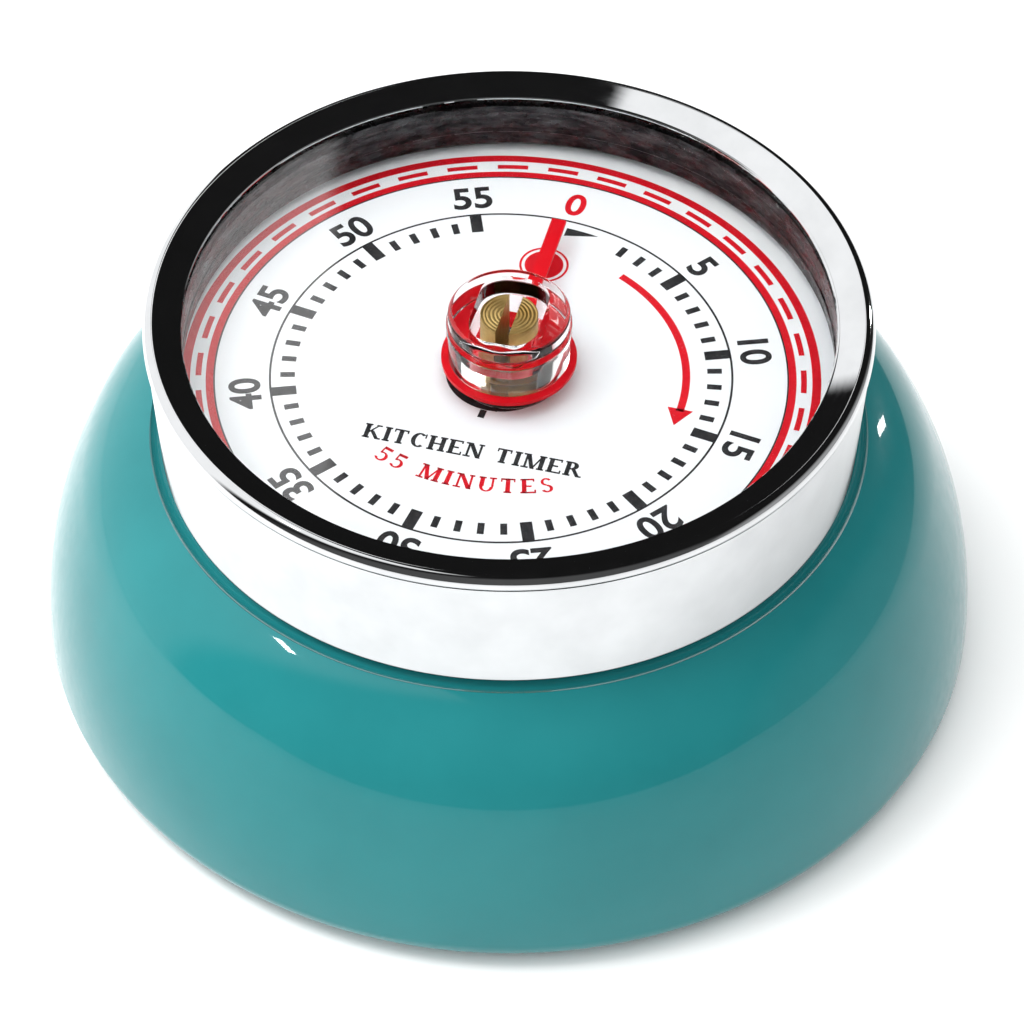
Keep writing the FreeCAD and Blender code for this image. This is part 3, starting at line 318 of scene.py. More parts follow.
def lens_material():
    """Clear acrylic, with a faint haze and moulding ripple."""
    nodes = Nodes("clear_lens")
    nodes.set(Transmission_Weight=1.0, IOR=1.49, Base_Color=(0.99, 0.995, 0.99, 1))
    nodes.rough(nodes.between(nodes.noise(120, 3), 0.0, 0.012))
    nodes.bump(nodes.noise(260, 2, 0.4), 0.0015)
    return nodes.material


def cover_material():
    """Moulded black plastic with a fine spark texture."""
    nodes = Nodes("black_cover")
    nodes.set(Specular_IOR_Level=0.4)
    nodes.paint(nodes.colours(nodes.noise(700, 4, 0.7), (0.010, 0.010, 0.011),
                              (0.022, 0.022, 0.024)))
    nodes.rough(nodes.between(nodes.noise(1200, 3), 0.38, 0.6))
    nodes.bump(nodes.noise(4200, 3, 0.6), 0.02)
    return nodes.material


def turned_brass_material():
    """Faced brass: fine tool rings round the axis, with a slight tarnish."""
    nodes = Nodes("arbor_brass")
    nodes.set(Metallic=1.0)
    way = nodes.around(1.0, 0.0006, 1.0)
    rings = nodes.node("ShaderNodeTexWave", wave_type="BANDS", bands_direction="X",
                       Scale=1150.0, Distortion=1.6, Detail=2.0, Detail_Scale=2.0)
    nodes.link(way, rings.inputs["Vector"])
    nodes.paint(nodes.colours(nodes.noise(500, 4, 0.6), (0.50, 0.31, 0.09), (0.78, 0.56, 0.22)))
    nodes.rough(nodes.between(nodes.noise(800, 3), 0.42, 0.6))
    nodes.bump(rings.outputs["Fac"], 0.03)
    return nodes.material


def chrome_material():
    """Chrome plate: near mirror, with polishing lines round the ring and faint pits."""
    nodes = Nodes("chrome_ring")
    nodes.set(Metallic=1.0)
    worked = nodes.noise(1.0, 3, 0.5, nodes.around(2600, 14, 2600))
    nodes.paint(nodes.colours(nodes.noise(300, 3), (0.55, 0.56, 0.57), (0.61, 0.62, 0.63)))
    nodes.rough(nodes.between(worked, 0.02, 0.05))
    nodes.bump(worked, 0.0004)
    return nodes.material


def retainer_material():
    """Bright rolled steel strip seen inside the ring; its colour is painted shade, near black, with
    lighter streaks round the circle that are painted reflections.
    """
    nodes = Nodes("retainer_steel")
    nodes.set(Metallic=1.0)
    painted_reflection_streaks = nodes.noise(1.0, 5, 0.7, nodes.around(500, 9, 1500))
    # painted shade and painted reflections: near-black colour with lighter streaks round the circle
    nodes.paint(nodes.colours(painted_reflection_streaks, (0.015, 0.015, 0.017), (0.16, 0.16, 0.165), 0.4, 0.85))
    nodes.rough(nodes.between(nodes.noise(1.0, 4, 0.6, nodes.around(900, 25, 2500)), 0.16, 0.42))
    nodes.bump(painted_reflection_streaks, 0.006)
    return nodes.material


MATERIALS = {
    "enamel_shell": enamel_material("enamel_shell", (0.010, 0.158, 0.168), (0.013, 0.180, 0.190),
                                    0.85),
    "black_cover": cover_material(),
    "magnet": metal_material("magnet", (0.50, 0.50, 0.49), (0.66, 0.66, 0.64), 0.18, 0.34,
                             grain=1500),
    "bell_steel": metal_material("bell_steel", (0.50, 0.50, 0.52), (0.64, 0.64, 0.66), 0.14, 0.30,
                                 (1400, 8, 1400), 1.0, circular=True),
    "chrome_ring": chrome_material(),
    "clear_lens": lens_material(),
    "retainer_steel": retainer_material(),
    "red_pointer": enamel_material("red_pointer", (0.62, 0.004, 0.010), (0.70, 0.006, 0.015),
                                   0.15),
    "dial_enamel": dial_material(),
    "spring_steel": metal_material("spring_steel", (0.10, 0.12, 0.20), (0.18, 0.20, 0.30), 0.2,
                                   0.34, (1, 1, 6), 900),
    "brass": metal_material("brass", (0.62, 0.42, 0.14), (0.80, 0.58, 0.24), 0.22, 0.4,
                            (1, 7, 1), 1600),
    "arbor_brass": turned_brass_material(),
    "plate_brass": metal_material("plate_brass", (0.60, 0.41, 0.15), (0.76, 0.55, 0.24), 0.26,
                                  0.44, (1, 14, 1), 700),
    "steel": metal_material("steel", (0.42, 0.42, 0.43), (0.58, 0.58, 0.59), 0.2, 0.36,
                            (1, 1, 5), 1800),
}
# black ink for the print, also used for the painted shade round the dial's hole
BLACK_INK_AND_SHADE = print_material("black_ink_and_shade", (0.018, 0.018, 0.020), (0.045, 0.045, 0.048))
RED_INK = print_material("red_ink", (0.60, 0.006, 0.014), (0.70, 0.012, 0.024))

# Of the CAD nodes, only these show in mirror reflections, so that the ring's chrome wall reflects
# the pale surround down to its foot, and not the shell or the movement in it.
REFLECTED = ("dial_plate", "pointer", "main_arbor")
for node in NODES.values():
    slot_name = node.data.materials[0].name
    node.material_slots[0].material = MATERIALS[slot_name]
    node.visible_glossy = node.name in REFLECTED

# ------------------------------------------------------------------------------ shell


def point_at(centre, radius, angle):
    return (centre[0] + radius * math.cos(math.radians(angle)),
            centre[1] + radius * math.sin(math.radians(angle)))


def build_shell():
    """Spun steel body: rolled foot with a hem, domed side, round shoulder and a neck with a seat."""
    radius, sheet = SHELL_HIGH.x, 0.6
    bottom, seat = SHELL_LOW.z, SHELL_HIGH.z
    widest, dome, turn, shoulder = 2.55, 28.8, 27.5, 9.6
    shoulder_end, groove, neck, neck_foot, seat_inner = 26.5, 1.0, 24.95, 20.35, 19.5
    foot_inner, hem_inner, hem_bottom, neck_tail = 32.7, 31.4, 1.15, 1.1
    roll = widest - bottom
    dome_centre = (radius - dome, widest)
    dome_end = point_at(dome_centre, dome, turn)
    shoulder_centre = point_at(dome_end, -shoulder, turn)

    def shoulder_height(arc, at):
        return shoulder_centre[1] + math.sqrt(arc ** 2 - (at - shoulder_centre[0]) ** 2)

    inner_arc = shoulder - sheet
    tail = neck_foot - neck_tail
    inner_end = shoulder_centre[0] + math.sqrt(inner_arc ** 2 - (tail - shoulder_centre[1]) ** 2)
    hem_top = hem_bottom + sheet
    hem_out = radius - roll + math.sqrt((roll - sheet) ** 2 - (widest - hem_top) ** 2)
    outline = [
        (foot_inner, bottom), (radius - roll, bottom), (radius, widest, roll),
        (*dome_end, dome), (shoulder_end, shoulder_height(shoulder, shoulder_end), shoulder),
        (neck, neck_foot, -groove), (neck, seat), (seat_inner, seat), (seat_inner, seat - sheet),
        (neck - sheet, seat - sheet), (neck - sheet, tail), (inner_end, tail),
        (*point_at(dome_centre, dome - sheet, turn), -inner_arc),
        (radius - sheet, widest, -(dome - sheet)), (hem_out, hem_top, -(roll - sheet)),
        (hem_inner, hem_top), (hem_inner, hem_bottom), (foot_inner, hem_bottom),
    ]
    shell = Builder()
    shell.turned(sample(outline))
    made = shell.piece("enamelled_shell", "case", "enamel_shell", MATERIALS["enamel_shell"],
                       replaced=["body_shell"])
    made.visible_glossy = False


# ------------------------------------------------------------------------------ turning ring


def build_ring():
    """Folded chrome ring: plain band, rolled bead, and a sloped lip over the lens."""
    gauge, hem = 0.45, 0.16
    band_foot, crest, bead, bead_angle = 25.68, 25.7, 0.75, -40
    opening, opening_top, lip_round = 23.74, 31.3, 0.13
    bottom, top = RING_LOW.z, RING_HIGH.z
    bead_centre = (crest, top - bead)
    bead_end = point_at(bead_centre, bead, bead_angle)
    lens_gap, skirt = 0.35, 2.2
    inside = LENS_HIGH.x + lens_gap
    outline = [
        (band_foot - gauge, bottom + hem), (band_foot - gauge + hem, bottom, hem),
        (band_foot - hem, bottom), (band_foot, bottom + hem, hem),
        bead_end, (crest, top, bead),
        (opening + 0.1, opening_top + 0.02), (opening + 0.02, opening_top - 0.24, lip_round),
        (opening + 0.3, PLATE_TOP + 0.02), (inside - 0.25, PLATE_TOP + 0.42),
        (inside, PLATE_TOP + 0.2), (inside, PLATE_TOP - skirt),
    ]
    ring = Builder()
    ring.turned(sample(outline))
    ring.piece("chrome_ring", "turning_ring", "chrome_ring", MATERIALS["chrome_ring"],
               replaced=["bezel_ring"])


def build_retainer():
    """Strip that holds the lens up, with a rounded foot and a fine bead a little above it."""
    inner, outer = 23.75, RETAINER_HIGH.x
    low, high = RETAINER_LOW.z, RETAINER_HIGH.z
    wall, foot = 0.4, 0.2
    bead_top, bead_low, bead_slope, bead_depth = low + 1.55, low + 1.25, 0.1, 0.07
    outline = [
        (inner, low + foot), (inner + foot, low, foot), (inner + wall, low + foot, foot),
        (inner + wall, high - wall), (outer, high - wall), (outer, high), (inner, high),
        (inner, bead_top), (inner - bead_depth, bead_top - bead_slope),
        (inner - bead_depth, bead_low + bead_slope), (inner, bead_low),
    ]
    strip = Builder()
    strip.turned(sample(outline))
    strip.piece("lens_strip", "turning_ring", "retainer_steel", MATERIALS["retainer_steel"],
                replaced=["lens_retainer"])


def stadium(width, length, corner):
    """Outline of a rectangle with round corners, about the origin."""
    half_width, half_length = width / 2, length / 2
    points = []
    for x, y, first in ((1, 1, 0), (-1, 1, 90), (-1, -1, 180), (1, -1, 270)):
        centre = (x * (half_width - corner), y * (half_length - corner))
        points += [point_at(centre, corner, first + angle) for angle in range(0, 91, 5)]
    return points


def build_lens():
    """Acrylic disc with a raised hub; the hub has a stadium well down to the brass arbor end."""
    radius, hub, hub_low, hub_top = LENS_HIGH.x, 4.45, LENS_LOW.z, LENS_HIGH.z
    edge, foot, fillet = 0.3, 0.15, 0.12
    well_width, well_length, well_corner, well_floor = 5.1, 7.0, 1.9, 28.4
    bore_radius, bore_top, cut_past = 2.12, 30, 1
    outline = [
        (0, hub_low), (hub - foot, hub_low), (hub, hub_low + foot, foot),
        (hub, PLATE_LOW - fillet), (hub + fillet, PLATE_LOW, -fillet), (radius, PLATE_LOW),
        (radius, PLATE_TOP), (hub + fillet, PLATE_TOP), (hub, PLATE_TOP + fillet, -fillet),
        (hub, hub_top - edge), (hub - edge, hub_top, edge), (0, hub_top),
    ]
    blank = Builder()
    blank.turned(sample(outline))
    lens = blank.piece("acrylic_lens", "turning_ring", "clear_lens", MATERIALS["clear_lens"],
                       crease=50, replaced=["lens"])
    well = Builder()
    well.prism(stadium(well_width, well_length, well_corner), well_floor, hub_top + cut_past)
    bore = Builder()
    bore.prism([point_at((0, 0), bore_radius, angle) for angle in range(0, 360, 4)],
               hub_low - cut_past, bore_top)
    for name, tool in (("well_tool", well), ("bore_tool", bore)):
        cutter = bpy.data.objects.new(name, tool.mesh(name))
        bpy.context.scene.collection.objects.link(cutter)
        change = lens.modifiers.new(name, "BOOLEAN")
        change.object = cutter
        change.operation = "DIFFERENCE"
        change.solver = "EXACT"
        bpy.context.view_layer.update()
        shaped = bpy.data.meshes.new_from_object(
            lens.evaluated_get(bpy.context.evaluated_depsgraph_get()))
        lens.modifiers.remove(change)
        lens.data = shaped
        bpy.data.objects.remove(cutter)
    lens.data.shade_smooth()
    lens.data.set_sharp_from_angle(angle=math.radians(40))


# ------------------------------------------------------------------------------ dial printing, and painted shade round the hole

PRINT_LOW = DIAL_TOP - 0.005
PRINT_HIGH = DIAL_TOP + 0.012
MINUTE = 6.0                   # degrees of dial for one minute
LAST_MINUTE = 55
SCALE_TURN = 8.6               # degrees clockwise from the Y axis to the 60 minute direction
PRINT_CENTRE = Vector((-0.52, -0.27, 0))      # the print sits a little off the dial's centre
PRINT_PLACE = Matrix.Translation(PRINT_CENTRE)

# Each mark is given by its inner and outer radius.
RED_CIRCLES = ((22.7, 23.35), (21.0, 21.55))
BLACK_CIRCLES = ((20.88, 21.0), (16.79, 16.95))
DASHES, DASH, DASH_START, DASH_END = 36, (21.88, 22.3), -4.0, 2.0
MAJOR_TICK, MAJOR_WIDTH = (15.0, 16.85), 0.88
MINOR_TICK, MINOR_WIDTH = (15.05, 16.12), 0.5
NUMERAL_HEIGHT, NUMERAL_WEIGHT, NUMERAL_RADIUS, NUMERAL_SHARE = 2.3, 0.075, 18.8, 0.73
ZERO_TURN = -5.8
WEDGE_OUTER, WEDGE_POINT, WEDGE_ANGLES = 16.12, 15.25, (3.5, 1.5, -0.5, -2.5, -5.4)
ARROW, ARROW_START, ARROW_END = (13.22, 13.8), 18.0, 83.5
HEAD_BASE, HEAD_BASE_TURN, HEAD_TIP, HEAD_TIP_TURN = (12.55, 14.45), 82.5, 13.55, 89.8
EMBLEM_CENTRE, EMBLEM_RING, EMBLEM_DISC = Vector((0.2, 11.8, 0)), (1.68, 1.85), 1.45
# Painted shade at the dial's hole: a black ring round it, wider on one side, and a small black mark at
# a notch beside it.
HOLE, HOLE_SHADE_REACH, HOLE_SHADE_MIN, HOLE_SHADE_SHIFT = 3.83, 4.1, 0.04, Vector((-0.53, -0.12))
NOTCH_SHADE_RADIUS, NOTCH_SHADE_TURN, NOTCH_SHADE_SIZE = 4.4, 175, (0.5, 0.8)


def letters(text, height, weight):
    """Flat outline mesh of a numeral, centred on its own middle: vertices and faces."""
    curve = bpy.data.curves.new("letters", "FONT")
    curve.body = text
    curve.size = height / NUMERAL_SHARE
    curve.offset = weight
    curve.resolution_u = 6
    curve.extrude = (PRINT_HIGH - PRINT_LOW) / 2
    curve.align_x = "CENTER"
    made = bpy.data.objects.new("letters", curve)
    bpy.context.scene.collection.objects.link(made)
    bpy.context.view_layer.update()
    data = bpy.data.meshes.new_from_object(made)
    verts = [vert.co.copy() for vert in data.vertices]
    faces = [list(face.vertices) for face in data.polygons]
    bpy.data.objects.remove(made)
    bpy.data.meshes.remove(data)
    middle = (min(v.x for v in verts) + max(v.x for v in verts)) / 2
    return [v - Vector((middle, height / 2, 0)) for v in verts], faces


def on_dial(radius, angle, turn=0.0):
    """Place for a flat item whose top faces outwards, at an angle clockwise from the Y axis."""
    x, y = dial_point(radius, angle)
    middle = (PRINT_LOW + PRINT_HIGH) / 2
    return (Matrix.Translation(PRINT_CENTRE + Vector((x, y, middle)))
            @ Matrix.Rotation(math.radians(turn - angle), 4, "Z"))


def print_strip(ink, inner, outer, start, end):
    ink.prism(band(inner, outer, start, end), PRINT_LOW, PRINT_HIGH, PRINT_PLACE)


def print_circle(ink, inner, outer):
    for start in range(0, 360, 90):
        print_strip(ink, inner, outer, start, start + 90)


def print_bar(ink, width, length, place):
    """A rectangle on the dial, with its length along the radius."""
    x, y = width / 2, length / 2
    middle = place.translation.z
    ink.prism([(-x, -y), (x, -y), (x, y), (-x, y)], PRINT_LOW - middle, PRINT_HIGH - middle, place)


# Serif capitals for the small print, on a cap height of 1: thick stems, thin joins, slab feet.
THICK, THIN, HAIR, SLAB = 0.21, 0.105, 0.07, 0.34
LETTER_WIDTH = 1.12            # stretch of every letter along the line
LETTER_HEIGHT = 1.42


def stroke(x0, y0, x1, y1, width=THICK):
    """Upright or slanting stroke, cut off level at both ends."""
    half = width / 2
    return [(x0 - half, y0), (x1 - half, y1), (x1 + half, y1), (x0 + half, y0)]


def slab(x, y, length=SLAB):
    """Thin level stroke centred at x, just inside the top or foot of the letter."""
    low = 0 if y == 0 else y - THIN
    return [(x - length / 2, low), (x + length / 2, low), (x + length / 2, low + THIN),
            (x - length / 2, low + THIN)]


def bow(x, y, wide, tall, start, end, side=THICK, cap=THIN):
    """Part of an oval, thick at its sides and thin at its top and foot."""
    steps = 14
    angles = [math.radians(start + (end - start) * n / steps) for n in range(steps + 1)]
    outer = [(x + wide * math.cos(a), y + tall * math.sin(a)) for a in angles]
    inner = [(x + (wide - side) * math.cos(a), y + (tall - cap) * math.sin(a)) for a in angles]
    return outer + inner[::-1]


def stem(x, width=THICK, foot=0.0):
    parts = [stroke(x, foot, x, 1, width), slab(x, 1)]
    return parts if foot else parts + [slab(x, 0)]


# Each letter: how far the line moves on, and its shapes.
CAPITALS = {
    " ": (0.42, []),
    "C": (0.76, [bow(0.41, 0.5, 0.37, 0.51, 48, 312), stroke(0.68, 0.68, 0.68, 0.98, HAIR)]),
    "E": (0.72, stem(0.18) + [slab(0.40, 1, 0.5), slab(0.36, 0.54, 0.32), slab(0.42, 0, 0.54),
                              stroke(0.62, 0.8, 0.62, 1, HAIR),
                              stroke(0.66, 0, 0.66, 0.24, HAIR)]),
    "H": (0.86, stem(0.18) + stem(0.68) + [slab(0.43, 0.54, 0.5)]),
    "I": (0.36, stem(0.18)),
    "K": (0.86, stem(0.18) + [stroke(0.24, 0.38, 0.66, 1, 0.1), stroke(0.72, 0, 0.38, 0.56, 0.2),
                              slab(0.66, 1, 0.26), slab(0.74, 0, 0.26)]),
    "M": (1.06, stem(0.16, THIN) + stem(0.88)
          + [stroke(0.52, 0, 0.2, 1, 0.2), stroke(0.5, 0, 0.86, 1, 0.09)]),
    "N": (0.88, stem(0.16, THIN) + [stroke(0.7, 0, 0.2, 1, 0.22), stroke(0.72, 0, 0.72, 1, THIN),
                                    slab(0.72, 1, 0.26)]),
    "R": (0.84, stem(0.18) + [bow(0.36, 0.74, 0.28, 0.26, -90, 90), slab(0.28, 1, 0.2),
                              slab(0.28, 0.565, 0.2), stroke(0.72, 0, 0.42, 0.52, 0.2),
                              slab(0.76, 0, 0.22)]),
    "S": (0.66, [bow(0.32, 0.74, 0.25, 0.26, 25, 270, 0.13, 0.1),
                 bow(0.32, 0.27, 0.27, 0.27, 90, -155, 0.15, 0.1)]),
    "T": (0.76, stem(0.36) + [slab(0.36, 1, 0.66), stroke(0.06, 0.76, 0.06, 1, HAIR),
                              stroke(0.66, 0.76, 0.66, 1, HAIR)]),
    "U": (0.86, stem(0.19, THICK, 0.33) + stem(0.68, THIN, 0.33)
          + [bow(0.41, 0.34, 0.31, 0.35, 180, 360, 0.15, 0.09)]),
    "5": (0.66, [slab(0.34, 1, 0.46), slab(0.34, 0.93, 0.46), stroke(0.14, 0.5, 0.14, 1, 0.08),
                 bow(0.28, 0.31, 0.31, 0.32, 125, -150, 0.16, 0.09)]),
}


def small_print(ink, text, gap, distance, bend=None):
    """A line of capitals below the dial's centre, straight or bent about a centre above it."""
    width = sum(CAPITALS[letter][0] * LETTER_WIDTH + gap for letter in text) - gap
    place = on_dial(distance, 180, 180)
    low = PRINT_LOW - place.translation.z
    start = -width / 2
    for letter in text:
        advance, shapes = CAPITALS[letter]
        for shape in shapes:
            points = [((start + x * LETTER_WIDTH) * LETTER_HEIGHT, (y - 0.5) * LETTER_HEIGHT)
                      for x, y in shape]
            if bend:
                points = [((bend - y) * math.sin(x / bend),
                           bend - (bend - y) * math.cos(x / bend)) for x, y in points]
            ink.prism(points, low, low + PRINT_HIGH - PRINT_LOW, place)
        start += advance * LETTER_WIDTH + gap


def print_numeral(ink, text, turn):
    verts, faces = letters(text, NUMERAL_HEIGHT, NUMERAL_WEIGHT)
    ink.add(verts, faces, on_dial(NUMERAL_RADIUS, turn))


def print_scale(black, red):
    """Circles, dashes, ticks and numerals; a wedge stands where ticks 0 and 1 would."""
    for inner, outer in RED_CIRCLES:
        print_circle(red, inner, outer)
    for inner, outer in BLACK_CIRCLES:
        print_circle(black, inner, outer)
    for n in range(DASHES):
        middle = SCALE_TURN + n * 360 / DASHES
        print_strip(red, *DASH, middle + DASH_START, middle + DASH_END)
    for minute in range(2, LAST_MINUTE + 1):
        turn = SCALE_TURN + minute * MINUTE
        major = minute % 5 == 0
        width = MAJOR_WIDTH if major else MINOR_WIDTH
        inner, outer = MAJOR_TICK if major else MINOR_TICK
        print_bar(black, width, outer - inner, on_dial((inner + outer) / 2, turn))
        if major:
            print_numeral(black, str(minute), turn)
    print_numeral(red, "0", SCALE_TURN + ZERO_TURN)
    wedge = [dial_point(WEDGE_OUTER, SCALE_TURN + angle) for angle in WEDGE_ANGLES]
    wedge.append(dial_point(WEDGE_POINT, SCALE_TURN + WEDGE_ANGLES[-1]))
    black.prism(wedge, PRINT_LOW, PRINT_HIGH, PRINT_PLACE)


def print_arrow(ink):
    """Curved arrow that shows which way to turn."""
    print_strip(ink, *ARROW, SCALE_TURN + ARROW_START, SCALE_TURN + ARROW_END)
    head = [dial_point(HEAD_BASE[0], SCALE_TURN + HEAD_BASE_TURN),
            dial_point(HEAD_TIP, SCALE_TURN + HEAD_TIP_TURN),
            dial_point(HEAD_BASE[1], SCALE_TURN + HEAD_BASE_TURN)]
    ink.prism(head, PRINT_LOW, PRINT_HIGH, PRINT_PLACE)


def print_emblem(ink):
    """A plain disc in a ring, partly under the pointer."""
    place = Matrix.Translation(PRINT_CENTRE + EMBLEM_CENTRE)
    for start in range(0, 360, 90):
        ink.prism(band(*EMBLEM_RING, start, start + 90, 6), PRINT_LOW, PRINT_HIGH, place)
    disc = [dial_point(EMBLEM_DISC, angle) for angle in range(0, 360, 6)]
    ink.prism(disc, PRINT_LOW, PRINT_HIGH, place)


def print_hole_edge(ink):
    """Painted shade round the dial's hole: a black edge, wider on one side, for the hole's dark inside
    and the pointer disc's shadow, and a small black mark beside it for the dark of a notch.
    """
    for start in range(0, 360, 90):
        angles = range(start, start + 91, 3)
        outer = []
        for angle in angles:
            along = Vector(dial_point(1.0, angle)).dot(HOLE_SHADE_SHIFT)
            reach = along + math.sqrt(HOLE_SHADE_REACH ** 2 - HOLE_SHADE_SHIFT.length_squared + along ** 2)
            outer.append(dial_point(max(reach, HOLE + HOLE_SHADE_MIN), angle))
        inner = [dial_point(HOLE, angle) for angle in reversed(angles)]
        ink.prism(outer + inner, PRINT_LOW, PRINT_HIGH)
    print_bar(ink, *NOTCH_SHADE_SIZE, on_dial(NOTCH_SHADE_RADIUS, SCALE_TURN + NOTCH_SHADE_TURN))


def build_dial_print():
    black, red = Builder(), Builder()
    print_scale(black, red)
    print_arrow(red)
    small_print(black, "KITCHEN TIMER", gap=0.08, distance=8.1)
    small_print(red, "55 MINUTES", gap=0.17, distance=11.2, bend=17.0)
    print_emblem(red)
    # painted shade in black: the hole's dark inside, the pointer disc's shadow and a dark notch
    print_hole_edge(black)
    black.piece("dial_print_and_painted_shade_black", "case", "dial_enamel", BLACK_INK_AND_SHADE)
    red.piece("dial_print_red", "case", "dial_enamel", RED_INK)


# ------------------------------------------------------------------------------ studio

VIEW_AZIMUTH = 14.5            # degrees, anticlockwise from the front
VIEW_ELEVATION = 46.8
VIEW_ROLL = 0.2
VIEW_DISTANCE = 364.3
AIM = Vector((0.25, 0.05, 10.8))
FOCAL, SENSOR, NEAREST = 170.16, 36.0, 0.01

# Levels of the studio's surround: the first line lights what is dull, the second shows in what shines.
SKY_LEVEL, SKY_SLOPE, OVERHEAD_GAIN, THROUGH_GAIN = 0.75, 0.6, 1.3, 0.45
LEFT_LEVEL, FRONT_LEVEL, RIGHT_LEVEL, WINDOW_LEVEL, DARK_LEVEL = 1.45, 0.1, 0.5, 1.5, 0.012
# Where the parts of the surround start and end, as parts of a direction: across to the right,
# beyond the timer, and up.
LEFT_WALL, LEFT_WALL_SLANT, LEFT_WALL_BLUR, LEFT_WALL_FRONT = -0.12, 0.26, 0.015, (-0.2, 0.0)
FRONT_WALL = (-0.25, -0.6)
RIGHT_WALL = (0.72, 0.95)
WINDOW_RIGHT, WINDOW_LEFT = (-0.034, -0.040), (-0.28, -0.25)
WINDOW_FOOT, WINDOW_HEAD, WINDOW_FRONT = (0.60, 0.63), (0.85, 0.82), (0.0, 0.2)

FLOOR_SIZE, FLOOR_CORNER, FLOOR_DEPTH = 2400, 300, 6
KEY_PLACE, KEY_SIZE, KEY_ENERGY = (-220, -60, 380), (200, 200), 1.25
GLINT_DISTANCE, GLINT_ENERGY = 400, 0.12
GLINTS = {"left_glint": ((-0.47, 0.03, 0.88), (36, 10)),
          "right_glint": ((0.645, 0.655, 0.386), (12, 44))}      # direction and size


def studio_world():
    """White studio; what shines sees a dark wall beyond the timer and a bright one on its left."""
    world = bpy.data.worlds.new("studio")
    bpy.context.scene.world = world
    world.use_nodes = True
    tree = world.node_tree
    tree.nodes.clear()

    def add(kind, *inputs, **values):
        """Add a node; an input is another node's output, a value, or None to leave it."""
        made = tree.nodes.new(kind)
        for name, value in values.items():
            setattr(made, name, value)
        for index, source in enumerate(inputs):
            if hasattr(source, "is_output"):
                tree.links.new(source, made.inputs[index])
            elif source is not None:
                made.inputs[index].default_value = source
        return made

    def math_node(operation, *inputs):
        return add("ShaderNodeMath", *inputs, operation=operation).outputs[0]

    def times(*factors):
        product = factors[0]
        for factor in factors[1:]:
            product = math_node("MULTIPLY", product, factor)
        return product

    def step(source, start, end, high=1.0):
        """Smooth rise from 0 at start to high at end."""
        return add("ShaderNodeMapRange", source, start, end, 0.0, high,
                   interpolation_type="SMOOTHSTEP").outputs[0]

    def choose(share, without, with_all):
        made = add("ShaderNodeMix", share, data_type="FLOAT")
        for socket, source in ((made.inputs[2], without), (made.inputs[3], with_all)):
            if hasattr(source, "is_output"):
                tree.links.new(source, socket)
            else:
                socket.default_value = source
        return made.outputs[0]

    way = add("ShaderNodeTexCoord").outputs["Generated"]
    turned = add("ShaderNodeVectorRotate", way, (0, 0, 0), (0, 0, 1),
                 math.radians(-VIEW_AZIMUTH), rotation_type="Z_AXIS")
    across, beyond, up = add("ShaderNodeSeparateXYZ", turned.outputs[0]).outputs
    # bright on the left of a line that slants away, and dark on its right
    edge = math_node("ADD", across, times(beyond, LEFT_WALL_SLANT))
    left_wall = times(step(edge, LEFT_WALL + LEFT_WALL_BLUR, LEFT_WALL - LEFT_WALL_BLUR),
                      step(beyond, *LEFT_WALL_FRONT), LEFT_LEVEL)
    level = math_node("MAXIMUM", left_wall, step(beyond, *FRONT_WALL, FRONT_LEVEL))
    # a small window, whose image lies on the left of the flat lens
    window = times(step(across, *WINDOW_RIGHT), step(across, *WINDOW_LEFT),
                   step(up, *WINDOW_FOOT), step(up, *WINDOW_HEAD), step(beyond, *WINDOW_FRONT),
                   WINDOW_LEVEL)
    level = math_node("MAXIMUM", level, window)
    level = math_node("MAXIMUM", level, times(step(across, *RIGHT_WALL), RIGHT_LEVEL))
    level = math_node("ADD", level, DARK_LEVEL)
    rays = add("ShaderNodeLightPath").outputs
    shiny = math_node("MAXIMUM", rays["Is Glossy Ray"], rays["Is Transmission Ray"])
    first = math_node("LESS_THAN", rays["Diffuse Depth"], 0.5)
    slope = times(across, -SKY_SLOPE)
    overhead = times(up, up, OVERHEAD_GAIN)
    gain = times(rays["Is Transmission Ray"], THROUGH_GAIN)
    sky = math_node("ADD", math_node("ADD", slope, overhead), math_node("ADD", gain, SKY_LEVEL))
    lit = choose(times(shiny, first), sky, level)
    seen = choose(rays["Is Camera Ray"], lit, 1.0)
    background = add("ShaderNodeBackground", (1.0, 1.0, 1.0, 1), seen)
    tree.links.new(background.outputs[0], add("ShaderNodeOutputWorld").inputs["Surface"])


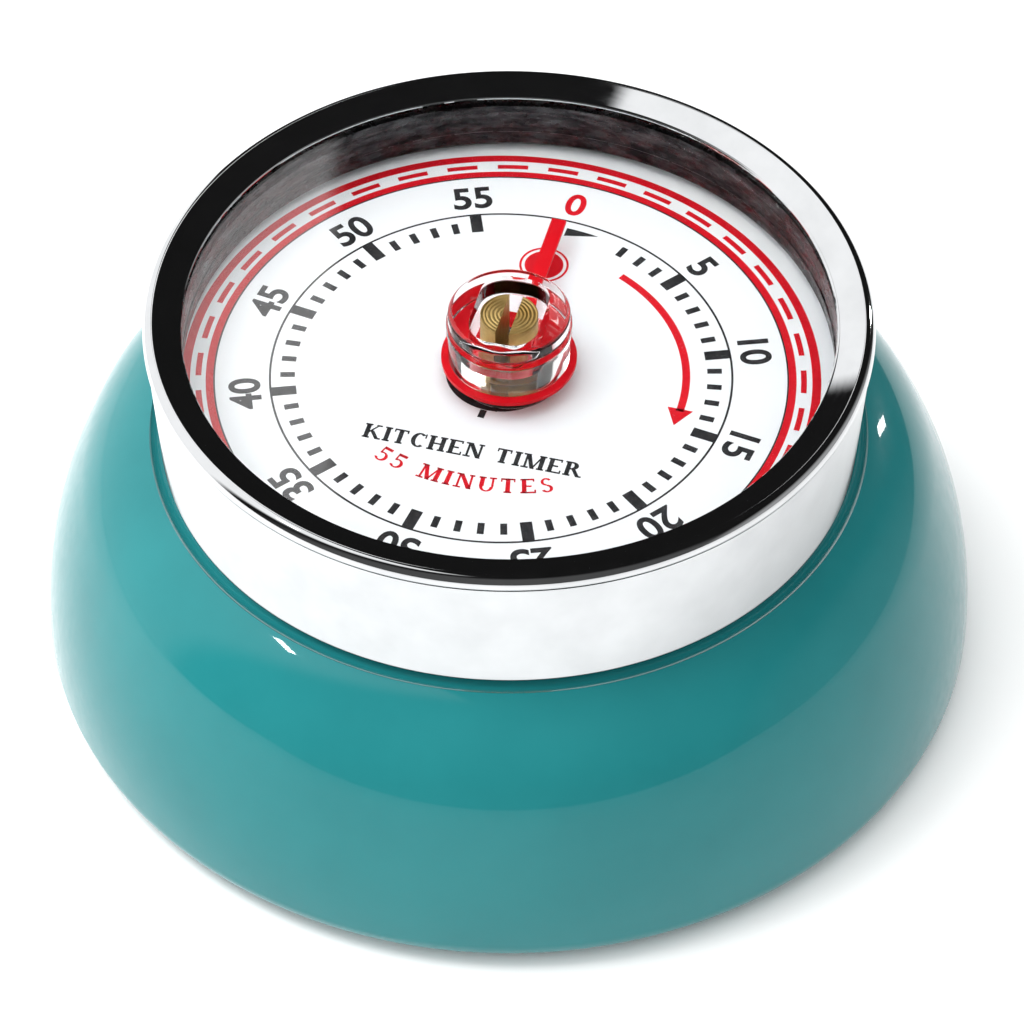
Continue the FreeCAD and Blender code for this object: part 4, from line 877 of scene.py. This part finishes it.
def card(name, centre, size, energy):
    """A soft rectangular studio light aimed at the timer."""
    data = bpy.data.lights.new(name, "AREA")
    data.shape = "RECTANGLE"
    data.size, data.size_y = size[0] * MM, size[1] * MM
    data.energy = energy
    made = bpy.data.objects.new(name, data)
    bpy.context.scene.collection.objects.link(made)
    made.location = Vector(centre) * MM
    made.rotation_euler = (AIM - Vector(centre)).to_track_quat("-Z", "Y").to_euler()
    return made


def build_studio():
    floor = Builder()
    floor.prism(stadium(FLOOR_SIZE, FLOOR_SIZE, FLOOR_CORNER), -FLOOR_DEPTH, 0)
    ground = bpy.data.objects.new("floor", floor.mesh("floor"))
    bpy.context.scene.collection.objects.link(ground)
    nodes = Nodes("pale_floor")
    nodes.paint(nodes.colours(nodes.noise(3, 2), (0.90, 0.90, 0.90), (0.93, 0.93, 0.93)))
    nodes.rough(nodes.between(nodes.noise(20, 2), 0.6, 0.7))
    ground.data.materials.append(nodes.material)
    studio_world()
    key = card("key_light", KEY_PLACE, KEY_SIZE, KEY_ENERGY)
    key.visible_glossy = False
    # two small lamps that show only as highlights on the gloss
    turn = Matrix.Rotation(math.radians(VIEW_AZIMUTH), 3, "Z")
    for name, (way, size) in GLINTS.items():
        glint = card(name, turn @ Vector(way) * GLINT_DISTANCE, size, GLINT_ENERGY)
        glint.visible_diffuse = False


def build_camera():
    data = bpy.data.cameras.new("camera")
    data.lens = FOCAL
    data.sensor_width = SENSOR
    data.clip_start = NEAREST
    made = bpy.data.objects.new("camera", data)
    bpy.context.scene.collection.objects.link(made)
    azimuth, elevation = math.radians(VIEW_AZIMUTH), math.radians(VIEW_ELEVATION)
    away = Vector((math.cos(elevation) * math.sin(azimuth),
                   -math.cos(elevation) * math.cos(azimuth), math.sin(elevation)))
    made.location = (AIM + away * VIEW_DISTANCE) * MM
    upright = Euler((math.pi / 2 - elevation, 0, azimuth)).to_matrix()
    made.rotation_euler = (upright @ Matrix.Rotation(math.radians(VIEW_ROLL), 3, "Z")).to_euler()
    bpy.context.scene.camera = made


build_shell()
build_ring()
build_retainer()
build_lens()
build_dial_print()
build_studio()
build_camera()
bpy.context.scene.view_settings.view_transform = "Standard"
